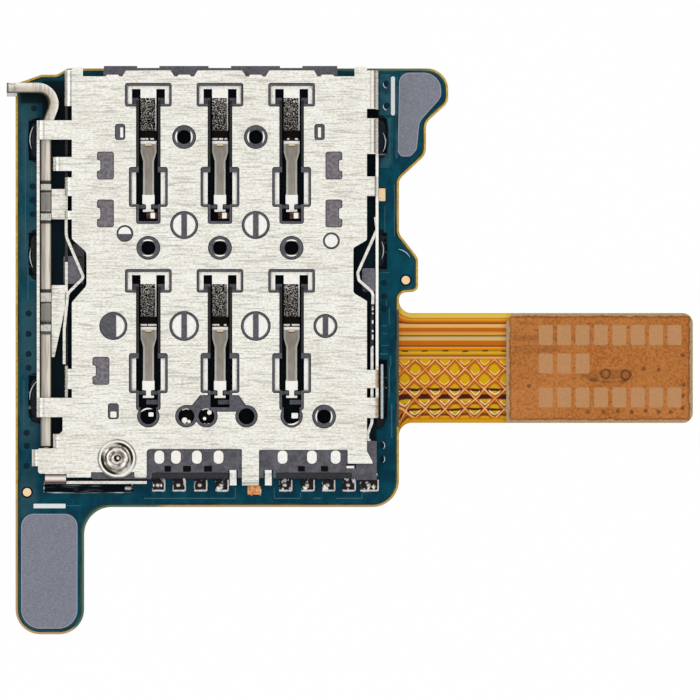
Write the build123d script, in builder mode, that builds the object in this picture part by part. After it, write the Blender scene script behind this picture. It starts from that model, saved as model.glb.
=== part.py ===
from build123d import *
import os
from math import asin, cos, degrees, radians, sin

# Card tray socket on a rigid-flex board.
# The origin is on the board's underside, below the middle contact column and
# midway between the two contact rows. +X runs to the film tail, +Y to the tray
# mouth and +Z out of the board. All lengths are in millimetres.

# Board and film, from the bottom up
RIGID_LAYER = 0.24
FILM = 0.12
FILM_BOTTOM = RIGID_LAYER
FILM_TOP = FILM_BOTTOM + FILM
BOARD_TOP = FILM_TOP + RIGID_LAYER
BOARD_LEFT = -7.27
BOARD_RIGHT = 6.35
BOARD_FRONT = 5.87
BOARD_REAR = -9.71
LEG_RIGHT = -4.84
LEG_END = -14.23
EAR_RIGHT = 8.10
EAR_NECK = 7.31
LUG_RIGHT = 7.03
PAD = 0.05

# Film tail and its plug
TAIL_WIDTH = 3.90
TAIL_Y = -4.77
TAIL_RISE = 0.46
TAIL_END = 16.78
TAIL_FLARE = 0.45
STIFFENER_LENGTH = 6.62
STIFFENER = 0.20
PLUG_LENGTH = 5.0
PLUG_WIDTH = 2.2
PLUG_WALL = 0.35
PLUG_FLOOR = 0.25
PLUG_PINS = 10
PLUG_PITCH = 0.40
PLUG_PIN = 0.18

# Sheet metal shell
SHEET = 0.10
SHELL_TOP = 2.0
PLATE_BOTTOM = SHELL_TOP - SHEET
FOLD_RADIUS = 0.22
PLATE_LEFT = -5.25
PLATE_RIGHT = 5.21
PLATE_FRONT = 5.57
PLATE_REAR = -8.65
TONGUE_REACH = 0.21
INNER_WALL_LEFT = -5.51
GUIDE_WALL_LEFT = -5.92
GUARD_WALL_LEFT = -6.50
WALL_RIGHT = 5.62
WALL_REAR = -8.88
GUARD_TOP = 1.60
WALL_TOP = 1.70
FOOT = 0.30

# Moulded insulator
INSULATOR_BOTTOM = 1.45
INSULATOR_INSET = 0.05
LIP_FRONT = 5.87
LIP_TEETH = 0.07
LIP_LEFT = -4.13
LIP_RIGHT = 4.17
RIM = 0.095
CORNER = 0.09
FILL_GAP = 0.03

# Contact field
COLUMN_PITCH = 2.54
ROW_PITCH = 6.60
UPPER_ROW_TOP = 5.34
COLUMNS = (-COLUMN_PITCH, 0, COLUMN_PITCH)
ROWS = (UPPER_ROW_TOP, UPPER_ROW_TOP - ROW_PITCH)

# One contact window, measured from its column's centre and its front edge
BAR_HALF = 0.83
BAR_DEPTH = 0.84
STEM_HALF = 0.436
WIDE_HALF = 0.69
WIDE_START = 2.98
WIDE_END = 4.40
POCKET_END = 5.00

# Contact stampings
STAMPING = 0.08
STAMPING_BOTTOM = 1.52
STAMPING_TOP = STAMPING_BOTTOM + STAMPING
BRACKET_FRONT = 0.106
BRACKET_REAR = 0.213
LEG_REAR = 0.76
HINGE_DEPTH = 0.53
TONGUE_HALF = 0.28
RAIL_INNER = 0.44
RAIL_WIDTH = 0.16
LEG_INNER = 0.585
LEG_OUTER = 0.735
CROWN_Z = 1.10
TIP_Z = 1.45
CONTACT_LENGTH = 4.04
BLADE_HALF = 0.19
PRESS_HALF = 0.215
TIP_HALF = 0.195
NECK_HALF = 0.09
LEAD = 0.20
TAIL_LEAD = 0.42
SOLDER_TAIL_FRONT = -8.39
SOLDER_TAIL_END = -9.13

# Ejector
ROD_WIDTH = 0.36
ROD_X = -6.18
ROD_BOTTOM = 0.70
ROD_TOP = 1.50
ROD_NOTCH = 0.35
ROD_END = -7.535
ROD_HEAD_X = -7.57
ROD_HEAD_Y = 5.17
ROD_PLAY = 0.02
ROD_TRAVEL = 0.95
PIVOT_X = -3.65
PIVOT_Y = -7.98
LEVER_BOTTOM = 0.80
LEVER = 0.30
LEVER_HUB = 0.42
LEVER_NOSE = 0.12
LEVER_TIP = 0.05
LEVER_NOSE_GAP = 0.03
LEVER_SHORT_ARM = 2.55
LEVER_LONG_ARM = 3.20
LEVER_LONG_NOSE = 0.15
PIN_RADIUS = 0.24
PIN_PLAY = 0.03
PIN_END_PLAY = 0.02
PIN_COLLAR = 0.38
PIN_HEAD = 0.39
PIN_WASHER = 0.48
PLATE_BOSS = 0.69
PLATE_BOSS_HEIGHT = 0.04

# Springs
SPRING = 0.10
LEAF_BOTTOM = 0.90
LEAF_TOP = 1.40
DETECT_BOTTOM = 0.80
DETECT_TOP = 1.42
DETECT_X = 5.39
DETECT_ROOT = -4.66

# Where the insulator and the plate stand back for the two bent springs
BAY_LEFT = -4.73
BAY_RIGHT = 4.73

os.makedirs("parts", exist_ok=True)


def outline(corners):
    """A face whose outline runs through corners given as x, y and corner radius."""
    with BuildLine() as border:
        FilletPolyline(
            *[(x, y) for x, y, radius in corners],
            radius=[radius for x, y, radius in corners],
            close=True,
        )
    make_face(border.edges())


def block(x_from, x_to, y_from, y_to, z_from, z_to, mode=Mode.ADD):
    """A box between six planes."""
    with Locations(((x_from + x_to) / 2, (y_from + y_to) / 2, (z_from + z_to) / 2)):
        Box(x_to - x_from, y_to - y_from, z_to - z_from, mode=mode)


def area(x_from, x_to, y_from, y_to, mode=Mode.ADD):
    """A rectangle between four lines."""
    with Locations(((x_from + x_to) / 2, (y_from + y_to) / 2)):
        Rectangle(x_to - x_from, y_to - y_from, mode=mode)


def save(builder, name):
    """Label a finished piece and write it."""
    builder.part.label = name
    export_step(builder.part, f"parts/{name}.step")


# Outline shared by the rigid layers and the film between them
BOARD_OUTLINE = [
    (BOARD_LEFT, LEG_END, 0.88),
    (BOARD_LEFT, 5.32, 0.20),
    (-6.35, 5.65, 0.30),
    (-5.80, 5.65, 0.20),
    (-5.42, BOARD_FRONT, 0.25),
    (EAR_RIGHT, BOARD_FRONT, 0.75),
    (EAR_RIGHT, 4.66, 0.45),
    (EAR_NECK, 3.95, 0.45),
    (EAR_NECK, 2.82, 0.50),
    (BOARD_RIGHT, 1.93, 0.40),
    (BOARD_RIGHT, 0.00, 0.40),
    (LUG_RIGHT, -0.86, 0.40),
    (LUG_RIGHT, -2.05, 0.22),
    (BOARD_RIGHT, -2.10, 0.25),
    (BOARD_RIGHT, BOARD_REAR, 0.95),
    (LEG_RIGHT, BOARD_REAR, 0.98),
    (LEG_RIGHT, LEG_END, 0.88),
]


# Lower rigid layer
with BuildPart() as lower_board:
    with BuildSketch():
        outline(BOARD_OUTLINE)
    extrude(amount=RIGID_LAYER)
save(lower_board, "lower_board")

# Upper rigid layer
with BuildPart() as upper_board:
    with BuildSketch(Plane.XY.offset(FILM_TOP)):
        outline(BOARD_OUTLINE)
    extrude(amount=RIGID_LAYER)
save(upper_board, "upper_board")

# Film core with its flared tail, which rises to the height of the plug
TAIL_TOP_Y = TAIL_Y + TAIL_WIDTH / 2
TAIL_LOW_Y = TAIL_Y - TAIL_WIDTH / 2
TAIL_BEND_START = BOARD_RIGHT + 1.2
TAIL_BEND_END = BOARD_RIGHT + 3.0
TAIL_BEND_RADIUS = 1.5
RAISED_BOTTOM = FILM_BOTTOM + TAIL_RISE
RAISED_TOP = RAISED_BOTTOM + FILM
FLARE_ROOM = TAIL_FLARE + 0.02

with BuildPart() as flex_circuit:
    with BuildSketch(Plane.XY.offset(FILM_BOTTOM)):
        outline(BOARD_OUTLINE)
        outline(
            [
                (BOARD_RIGHT - 0.3, TAIL_TOP_Y + FLARE_ROOM, 0),
                (BOARD_RIGHT, TAIL_TOP_Y + FLARE_ROOM, 0),
                (BOARD_RIGHT, TAIL_TOP_Y, TAIL_FLARE),
                (BOARD_RIGHT + 0.6, TAIL_TOP_Y, 0),
                (BOARD_RIGHT + 0.6, TAIL_LOW_Y, 0),
                (BOARD_RIGHT, TAIL_LOW_Y, TAIL_FLARE),
                (BOARD_RIGHT, TAIL_LOW_Y - FLARE_ROOM, 0),
                (BOARD_RIGHT - 0.3, TAIL_LOW_Y - FLARE_ROOM, 0),
            ]
        )
    extrude(amount=FILM)
    with BuildSketch(Plane.XZ.offset(-TAIL_TOP_Y)):
        outline(
            [
                (BOARD_RIGHT + 0.5, FILM_BOTTOM, 0),
                (TAIL_BEND_START, FILM_BOTTOM, TAIL_BEND_RADIUS + FILM),
                (TAIL_BEND_END, RAISED_BOTTOM, TAIL_BEND_RADIUS),
                (TAIL_END, RAISED_BOTTOM, 0),
                (TAIL_END, RAISED_TOP, 0),
                (TAIL_BEND_END, RAISED_TOP, TAIL_BEND_RADIUS + FILM),
                (TAIL_BEND_START, FILM_TOP, TAIL_BEND_RADIUS),
                (BOARD_RIGHT + 0.5, FILM_TOP, 0),
            ]
        )
    extrude(amount=TAIL_WIDTH)
    tail_corners = flex_circuit.edges().filter_by(Axis.Z).group_by(Axis.X)[-1]
    fillet(tail_corners, 0.36)
save(flex_circuit, "flex_circuit")

# Stiffener on the tail's end
STIFFENER_START = TAIL_END - STIFFENER_LENGTH
with BuildPart() as tail_stiffener:
    with BuildSketch(Plane.XY.offset(RAISED_TOP)):
        outline(
            [
                (STIFFENER_START, TAIL_LOW_Y, 0),
                (STIFFENER_START, TAIL_TOP_Y - 0.33, 0),
                (STIFFENER_START + 0.25, TAIL_TOP_Y, 0),
                (TAIL_END, TAIL_TOP_Y, 0.36),
                (TAIL_END, TAIL_LOW_Y, 0.36),
            ]
        )
    extrude(amount=STIFFENER)
save(tail_stiffener, "tail_stiffener")

# Plug under the tail's end: a tray with a raised island and two rows of strips
PLUG_X = TAIL_END - STIFFENER_LENGTH / 2
PLUG_LEFT = PLUG_X - PLUG_LENGTH / 2
PLUG_RIGHT = PLUG_X + PLUG_LENGTH / 2
PLUG_NEAR = TAIL_Y - PLUG_WIDTH / 2
PLUG_FAR = TAIL_Y + PLUG_WIDTH / 2
with BuildPart() as plug_housing:
    block(PLUG_LEFT, PLUG_RIGHT, PLUG_NEAR, PLUG_FAR, 0, RAISED_BOTTOM)
    block(
        PLUG_LEFT + PLUG_WALL,
        PLUG_RIGHT - PLUG_WALL,
        PLUG_NEAR + PLUG_WALL,
        PLUG_FAR - PLUG_WALL,
        0,
        RAISED_BOTTOM - PLUG_FLOOR,
        mode=Mode.SUBTRACT,
    )
    plug_corners = plug_housing.edges().filter_by(Axis.Z).group_by(SortBy.DISTANCE)[-1]
    fillet(plug_corners, 0.12)
save(plug_housing, "plug_housing")

with BuildPart() as plug_contacts:
    for side in (-1, 1):
        wall_y = TAIL_Y + side * (PLUG_WIDTH / 2 - PLUG_WALL - STAMPING / 2)
        with Locations((PLUG_X, wall_y, (RAISED_BOTTOM - PLUG_FLOOR) / 2 + STAMPING)):
            with GridLocations(PLUG_PITCH, 1, PLUG_PINS, 1):
                Box(PLUG_PIN, STAMPING, RAISED_BOTTOM - PLUG_FLOOR - 2 * STAMPING)
save(plug_contacts, "plug_contacts")

# Bare pads on the leg and on the ear
LEG_PAD_LEFT = -7.07
LEG_PAD_RIGHT = -5.07
LEG_PAD_FRONT = -9.95
LEG_PAD_END = -14.03
LEG_PAD_CORNER = 0.45
LEG_PAD_END_CORNER = 0.68
with BuildPart() as leg_pad:
    with BuildSketch(Plane.XY.offset(BOARD_TOP)):
        outline(
            [
                (LEG_PAD_LEFT, LEG_PAD_END, LEG_PAD_END_CORNER),
                (LEG_PAD_LEFT, LEG_PAD_FRONT, LEG_PAD_CORNER),
                (LEG_PAD_RIGHT, LEG_PAD_FRONT, LEG_PAD_CORNER),
                (LEG_PAD_RIGHT, LEG_PAD_END, LEG_PAD_END_CORNER),
            ]
        )
    extrude(amount=PAD)
save(leg_pad, "leg_pad")

with BuildPart() as ear_pad:
    with BuildSketch(Plane.XY.offset(BOARD_TOP)):
        outline(
            [
                (6.36, 5.72, 0.35),
                (7.85, 5.72, 0.62),
                (7.85, 4.84, 0.42),
                (7.08, 3.98, 0.50),
                (6.98, 2.98, 0.30),
                (6.76, 2.74, 0.20),
                (6.42, 2.74, 0.15),
                (6.31, 2.90, 0.12),
            ]
        )
    extrude(amount=PAD)
save(ear_pad, "ear_pad")


# Round marks that show a lead on each side of a bar: x, y, radius and the
# stampings that show on the left and on the right
MARK_UPPER_Y = 0.30
MARK_LOWER_Y = -3.28
MARK_RING = 0.10
MARK_BAR_HALF = 0.10
MARK_TOP = 1.93
LEAD_1_X = -1.52
LEAD_2_X = -1.02
LEAD_3_X = 3.62
MARKS = [
    (-COLUMN_PITCH / 2, MARK_UPPER_Y, 0.50, "terminal_1", "terminal_2"),
    (-COLUMN_PITCH / 2, MARK_LOWER_Y, 0.53, "terminal_1", "terminal_2"),
    (COLUMN_PITCH / 2, MARK_UPPER_Y, 0.50, "terminal_2", "terminal_3"),
    (COLUMN_PITCH / 2, MARK_LOWER_Y, 0.53, "terminal_5", "terminal_6"),
    (3.74, MARK_LOWER_Y, 0.43, "terminal_3", "terminal_3"),
    (-3.78, MARK_LOWER_Y, 0.50, "", "terminal_4"),
]

# Through holes with a moulded ring
RING = 0.425
RING_BORE = 0.25
RINGS = [
    (-COLUMN_PITCH / 2, 3.42),
    (COLUMN_PITCH / 2, 3.42),
    (-COLUMN_PITCH, -0.51),
    (0, -0.51),
    (COLUMN_PITCH, -0.51),
    (3.69, -6.49),
]

# Rounded ends of the lower windows, with the bores in them
LOBE_Y = -6.48
LOBE = 0.40
LOBE_BORE = 0.285
LOBES = [-COLUMN_PITCH, -1.19, -0.48, 0.94, COLUMN_PITCH]

# Small moulded spots and patches in the plate
SPOTS = [(-3.37, 0.00), (3.95, -0.26)]
SPOT = 0.30
SLOTS = [(-3.54, 3.60, 0.37, 0.57), (3.53, 3.60, 0.37, 0.57), (-3.78, -6.30, 0.39, 0.57)]
PATCH_WIDTH = 0.60
PATCH_HEIGHT = 0.99
PATCH_NOTCH = 0.12
PATCH_NOTCH_HEIGHT = 0.40
PATCHES = [(-4.06, 2.41, -1), (-4.06, 0.71, -1), (-4.22, -4.87, -1), (4.04, 2.41, 1), (4.04, 0.71, 1)]


def rounded_area(x_middle, y_from, y_to, half_width):
    """A rectangle with rounded corners, centred on a column."""
    with Locations((x_middle, (y_from + y_to) / 2)):
        RectangleRounded(2 * half_width, y_to - y_from, CORNER)


def window(x, top):
    """The T-shaped opening over one contact."""
    rounded_area(x, top - BAR_DEPTH, top, BAR_HALF)
    rounded_area(x, top - POCKET_END, top, STEM_HALF)
    rounded_area(x, top - WIDE_END, top - WIDE_START, WIDE_HALF)


def plate_openings():
    """All openings of the plate, which the insulator fills up to the plate's top."""
    for x in COLUMNS:
        for top in ROWS:
            window(x, top)
    for x in LOBES:
        with Locations((x, LOBE_Y)):
            Circle(LOBE)
    area(LOBES[1], LOBES[3], -6.32, -6.08)
    outline([(-0.71, -5.73, 0.03), (0.67, -5.73, 0.03), (0.93, -6.10, 0), (-1.00, -6.10, 0)])
    for x, y, radius, left, right in MARKS:
        with Locations((x, y)):
            Circle(radius)
    with Locations(RINGS):
        Circle(RING)
    with Locations(SPOTS):
        Circle(SPOT)
    for x, y, width, height in SLOTS:
        with Locations((x, y)):
            RectangleRounded(width, height, 0.10)
    for x, y, side in PATCHES:
        with Locations((x, y)):
            RectangleRounded(PATCH_WIDTH, PATCH_HEIGHT, CORNER)
        with Locations((x + side * PATCH_WIDTH / 2, y)):
            RectangleRounded(2 * PATCH_NOTCH, PATCH_NOTCH_HEIGHT, CORNER, mode=Mode.SUBTRACT)


def plate_outline():
    """The flat of the plate, without its folds."""
    outline(
        [
            (PLATE_LEFT, 5.89, 0),
            (-4.86, 5.89, 0.05),
            (-4.86, PLATE_FRONT, 0),
            (4.77, PLATE_FRONT, 0),
            (4.77, 5.92, 0.05),
            (PLATE_RIGHT, 5.92, 0.05),
            (PLATE_RIGHT, -0.23, 0.10),
            (BAY_RIGHT, -0.51, 0.15),
            (BAY_RIGHT, -2.11, 0.15),
            (PLATE_RIGHT, -2.39, 0.10),
            (PLATE_RIGHT, -7.71, 0.10),
            (5.41, -8.10, 0.05),
            (5.41, -8.16, 0),
            (4.53, -8.16, 0),
            (4.53, -7.67, 0.05),
            (1.38, -7.67, 0.05),
            (1.38, -8.60, 0),
            (0.78, -8.60, 0),
            (0.78, -7.64, 0.05),
            (-2.60, -7.64, 0.12),
            (-2.60, PLATE_REAR, 0.05),
            (-3.03, PLATE_REAR, 0.05),
            (-3.03, -8.46, 0),
            (-4.57, -8.46, 0),
            (-4.57, PLATE_REAR, 0.05),
            (-5.44, PLATE_REAR, 0.05),
            (-5.44, -8.51, 0),
            (-6.45, -8.51, 0.10),
            (-6.45, -7.62, 0.05),
            (-5.70, -7.62, 0),
            (-5.70, -7.11, 0),
            (-5.58, -7.00, 0),
            (-5.58, -6.51, 0),
            (PLATE_LEFT, -6.51, 0),
            (PLATE_LEFT, -2.44, 0.10),
            (BAY_LEFT, -1.85, 0.25),
            (BAY_LEFT, -0.66, 0.25),
            (PLATE_LEFT, -0.20, 0.15),
        ]
    )
    for x in COLUMNS:
        outline(
            [
                (x - 0.92, PLATE_FRONT, 0),
                (x - 0.79, PLATE_FRONT + TONGUE_REACH, 0.05),
                (x + 0.79, PLATE_FRONT + TONGUE_REACH, 0.05),
                (x + 0.92, PLATE_FRONT, 0),
            ]
        )


# Moulded studs in the plate's front edge
STUD_XS = [-1.5 * COLUMN_PITCH, -0.5 * COLUMN_PITCH, 0.5 * COLUMN_PITCH, 1.5 * COLUMN_PITCH]
STUD_WIDTH = 0.37
STUD_FRONT = PLATE_FRONT + 0.07
STUD_REAR = PLATE_FRONT - 0.06

with BuildSketch(Plane.XY.offset(PLATE_BOTTOM)) as filled_openings:
    plate_openings()
    for x in STUD_XS:
        area(x - STUD_WIDTH / 2, x + STUD_WIDTH / 2, STUD_REAR, STUD_FRONT)

with BuildSketch(Plane.XY.offset(PLATE_BOTTOM)) as raised_fills:
    offset(filled_openings.sketch, amount=-FILL_GAP)


def side_fold(plate_x, outer_x, y_from, y_to, foot_z):
    """A strip that leaves the plate's side edge and turns down into a wall."""
    inner_x = outer_x + SHEET if outer_x < plate_x else outer_x - SHEET
    with BuildSketch(Plane.XZ.offset(-y_to)) as section:
        outline(
            [
                (plate_x, SHELL_TOP, 0),
                (outer_x, SHELL_TOP, FOLD_RADIUS),
                (outer_x, foot_z, 0),
                (inner_x, foot_z, 0),
                (inner_x, PLATE_BOTTOM, FOLD_RADIUS - SHEET),
                (plate_x, PLATE_BOTTOM, 0),
            ]
        )
    extrude(section.sketch, amount=y_to - y_from)


def rear_fold(plate_y, outer_y, x_from, x_to, foot_z):
    """A strip that leaves the plate's rear edge and turns down into a wall."""
    with BuildSketch(Plane.YZ.offset(x_from)) as section:
        outline(
            [
                (plate_y, SHELL_TOP, 0),
                (outer_y, SHELL_TOP, FOLD_RADIUS),
                (outer_y, foot_z, 0),
                (outer_y + SHEET, foot_z, 0),
                (outer_y + SHEET, PLATE_BOTTOM, FOLD_RADIUS - SHEET),
                (plate_y, PLATE_BOTTOM, 0),
            ]
        )
    extrude(section.sketch, amount=x_to - x_from)


# Shell: plate, walls, straps, guard wall, feet, centre tongue and leaf spring
INNER_LEFT = INNER_WALL_LEFT + SHEET
GUARD_INNER = GUARD_WALL_LEFT + SHEET
WALL_INNER_RIGHT = WALL_RIGHT - SHEET
FOLD_LAP = 0.10
RAIL_TOP = 0.85
GUIDE_BOTTOM = 1.10
GUIDE_RIGHT = ROD_X + ROD_WIDTH / 2 + ROD_PLAY
STRAPS = [(3.33, 4.01), (-6.51, -5.83)]
GUARD_FROM = STRAPS[1][0]
GUARD_TO = STRAPS[0][1]
LEFT_FEET = [(2.61, 4.01), (-1.47, 0.05), (-6.51, -5.02)]
RIGHT_FEET = [(2.78, 4.10), (-1.29, 0.02), (-6.54, -4.49)]
LEVER_TOP = LEVER_BOTTOM + LEVER
LEVER_ROOM = 0.10
SPRING_WINDOW = (-4.25, 1.26)
SPRING_ROOM = 0.10

with BuildPart() as shell:
    with BuildSketch(Plane.XY.offset(PLATE_BOTTOM)):
        plate_outline()
    extrude(amount=SHEET)
    extrude(filled_openings.sketch, amount=SHEET, mode=Mode.SUBTRACT)
    # Left folds: inner wall, guide wall and the two straps to the guard wall
    for y_from, y_to in [(4.52, 5.80), (1.33, 1.99), (0.50, 0.80), (-5.51, -4.80)]:
        side_fold(PLATE_LEFT + FOLD_LAP, INNER_WALL_LEFT, y_from, y_to, BOARD_TOP)
    side_fold(PLATE_LEFT + FOLD_LAP, GUIDE_WALL_LEFT, 2.22, 2.71, BOARD_TOP)
    side_fold(-5.58 + FOLD_LAP, GUIDE_WALL_LEFT, -7.82, -7.11, LEVER_TOP + LEVER_ROOM)
    for y_from, y_to in STRAPS:
        side_fold(PLATE_LEFT + FOLD_LAP, GUARD_WALL_LEFT, y_from, y_to, BOARD_TOP)
    block(GUARD_WALL_LEFT, GUARD_INNER, GUARD_FROM, GUARD_TO, BOARD_TOP, GUARD_TOP)
    block(INNER_WALL_LEFT, INNER_LEFT, -6.51, 5.80, BOARD_TOP, RAIL_TOP)
    side_fold(-6.45 + FOLD_LAP, -6.67, -8.25, -7.66, BOARD_TOP)
    # Right folds and wall, with a window where the detect spring swings out
    for y_from, y_to in [(4.42, 5.78), (2.82, 4.08), (1.33, 2.02), (-5.48, -4.84), (-6.54, -5.82)]:
        side_fold(PLATE_RIGHT - FOLD_LAP, WALL_RIGHT, y_from, y_to, BOARD_TOP)
    block(WALL_INNER_RIGHT, WALL_RIGHT, -6.54, 5.78, BOARD_TOP, WALL_TOP)
    block(
        WALL_INNER_RIGHT,
        WALL_RIGHT,
        SPRING_WINDOW[0],
        SPRING_WINDOW[1],
        RAIL_TOP - SPRING_ROOM,
        DETECT_TOP + SPRING_ROOM,
        mode=Mode.SUBTRACT,
    )
    # Rear folds and wall, with a gap where the lever's nose comes out
    rear_fold(-8.40, WALL_REAR, -6.20, -5.46, BOARD_TOP)
    rear_fold(-8.55, -8.94, 0.78, 1.38, BOARD_TOP)
    block(-6.24, -2.60, WALL_REAR, WALL_REAR + SHEET, BOARD_TOP, GUARD_TOP)
    nose_top = LEVER_TOP + LEVER_ROOM
    block(-6.40, -5.44, WALL_REAR, WALL_REAR + SHEET, BOARD_TOP + SHEET, nose_top, mode=Mode.SUBTRACT)
    # Solder feet
    for y_from, y_to in LEFT_FEET:
        block(GUARD_WALL_LEFT - FOOT, GUARD_INNER, y_from, y_to, BOARD_TOP, BOARD_TOP + SHEET)
    for y_from, y_to in RIGHT_FEET:
        block(WALL_INNER_RIGHT, WALL_RIGHT + FOOT, y_from, y_to, BOARD_TOP, BOARD_TOP + SHEET)
    block(-6.24, -3.16, WALL_REAR - FOOT, WALL_REAR + SHEET, BOARD_TOP, BOARD_TOP + SHEET)
    # Guides beside the push rod
    block(GUIDE_RIGHT, INNER_LEFT, 0.51, 1.58, GUIDE_BOTTOM, GUIDE_BOTTOM + SHEET)
    block(INNER_WALL_LEFT, INNER_LEFT, -2.10, -1.83, BOARD_TOP, GUIDE_BOTTOM + SHEET)
    with BuildSketch(Plane.XY.offset(GUIDE_BOTTOM)):
        outline(
            [
                (GUIDE_RIGHT, -1.83, 0.05),
                (INNER_LEFT, -1.83, 0),
                (INNER_LEFT, -2.10, 0),
                (INNER_WALL_LEFT, -2.10, 0),
                (INNER_WALL_LEFT, -2.68, 0.10),
                (GUIDE_RIGHT + 0.10, -4.38, 0),
                (GUIDE_RIGHT, -4.38, 0),
            ]
        )
    extrude(amount=SHEET)
    # Leaf spring that holds the tray, bent from the left wall
    with BuildSketch(Plane.XY.offset(LEAF_BOTTOM)):
        with BuildLine():
            FilletPolyline(
                (-5.46, 0.70),
                (-5.46, -0.10),
                (-4.84, -1.56),
                (-5.40, -2.12),
                (-5.53, -3.40),
                (-5.53, -4.63),
                radius=[0.6, 0.15, 0.3, 0.8],
            )
        trace(line_width=SPRING)
    extrude(amount=LEAF_TOP - LEAF_BOTTOM)
    # Seat of the rivet
    with Locations((PIVOT_X, PIVOT_Y, PLATE_BOTTOM)):
        Cylinder(PLATE_BOSS, SHEET + PLATE_BOSS_HEIGHT, align=(Align.CENTER, Align.CENTER, Align.MIN))
    with Locations((PIVOT_X, PIVOT_Y, PLATE_BOTTOM)):
        Cylinder(PIN_COLLAR, 1, align=(Align.CENTER, Align.CENTER, Align.MIN), mode=Mode.SUBTRACT)
    with Locations((PIVOT_X, PIVOT_Y, SHELL_TOP - SHEET / 2)):
        Cylinder(0.57, 1, align=(Align.CENTER, Align.CENTER, Align.MIN), mode=Mode.SUBTRACT)
save(shell, "shell")


# Leads from each stamping to its solder tail: name, column, row, tail x, oval
# x and the bends between the frame and the tail
FRAME_REAR = WIDE_END - RIM + 0.02
RAIL_MID = RAIL_INNER + RAIL_WIDTH / 2
UPPER_END = ROWS[0] - FRAME_REAR
LOWER_END = ROWS[1] - FRAME_REAR
TURN_Y = 0.60
JOG_FROM = -5.90
JOG_TO = -6.28
SPREAD_FROM = -7.20
SPREAD_TO = -7.50
OVAL_Y = -7.93
OVAL_WIDTH = 0.34
OVAL_LENGTH = 0.46
OVAL_CORNER = 0.15
OVAL_TOP = PLATE_BOTTOM + 0.02
LONG_LEADS = [
    [(LEAD_1_X, TURN_Y), (LEAD_1_X, JOG_FROM), (-1.19, JOG_TO), (-1.19, SPREAD_FROM)],
    [(LEAD_2_X, TURN_Y), (LEAD_2_X, JOG_FROM + 0.2), (-0.48, JOG_TO), (-0.48, SPREAD_FROM)],
    [(LEAD_3_X, TURN_Y), (LEAD_3_X, JOG_FROM), (3.16, JOG_TO), (3.16, SPREAD_FROM)],
]
TERMINALS = [
    ("terminal_1", 0, 0, 1, -1.45, -1.56, LONG_LEADS[0]),
    ("terminal_2", 1, 0, -1, -0.69, -0.82, LONG_LEADS[1]),
    ("terminal_3", 2, 0, 1, 3.12, 3.26, LONG_LEADS[2]),
    ("terminal_4", 0, 1, 1, -2.18, -2.15, [(-COLUMN_PITCH + RAIL_MID, SPREAD_FROM)]),
    ("terminal_5", 1, 1, 1, 0.07, -0.05, [(RAIL_MID, SPREAD_FROM)]),
    ("terminal_6", 2, 1, -1, 2.33, 2.22, [(COLUMN_PITCH - RAIL_MID, SPREAD_FROM)]),
]


def lead(points):
    """A flat strip along a route."""
    with BuildLine() as route:
        Polyline(*points)
    trace(route.edges(), line_width=LEAD)


def solder_tail(x, width):
    """The end of a lead: down behind the moulding and back along the board."""
    left = x - width / 2
    right = x + width / 2
    front = SOLDER_TAIL_FRONT
    block(left, right, front - STAMPING, front, BOARD_TOP, STAMPING_TOP)
    block(left, right, SOLDER_TAIL_END, front, BOARD_TOP, BOARD_TOP + STAMPING)


def oval_pad(x):
    """The raised oval that shows through the moulding."""
    with BuildSketch(Plane.XY.offset(STAMPING_BOTTOM)) as oval:
        with Locations((x, OVAL_Y)):
            RectangleRounded(OVAL_WIDTH, OVAL_LENGTH, OVAL_CORNER)
    extrude(oval.sketch, amount=OVAL_TOP - STAMPING_BOTTOM)


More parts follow.
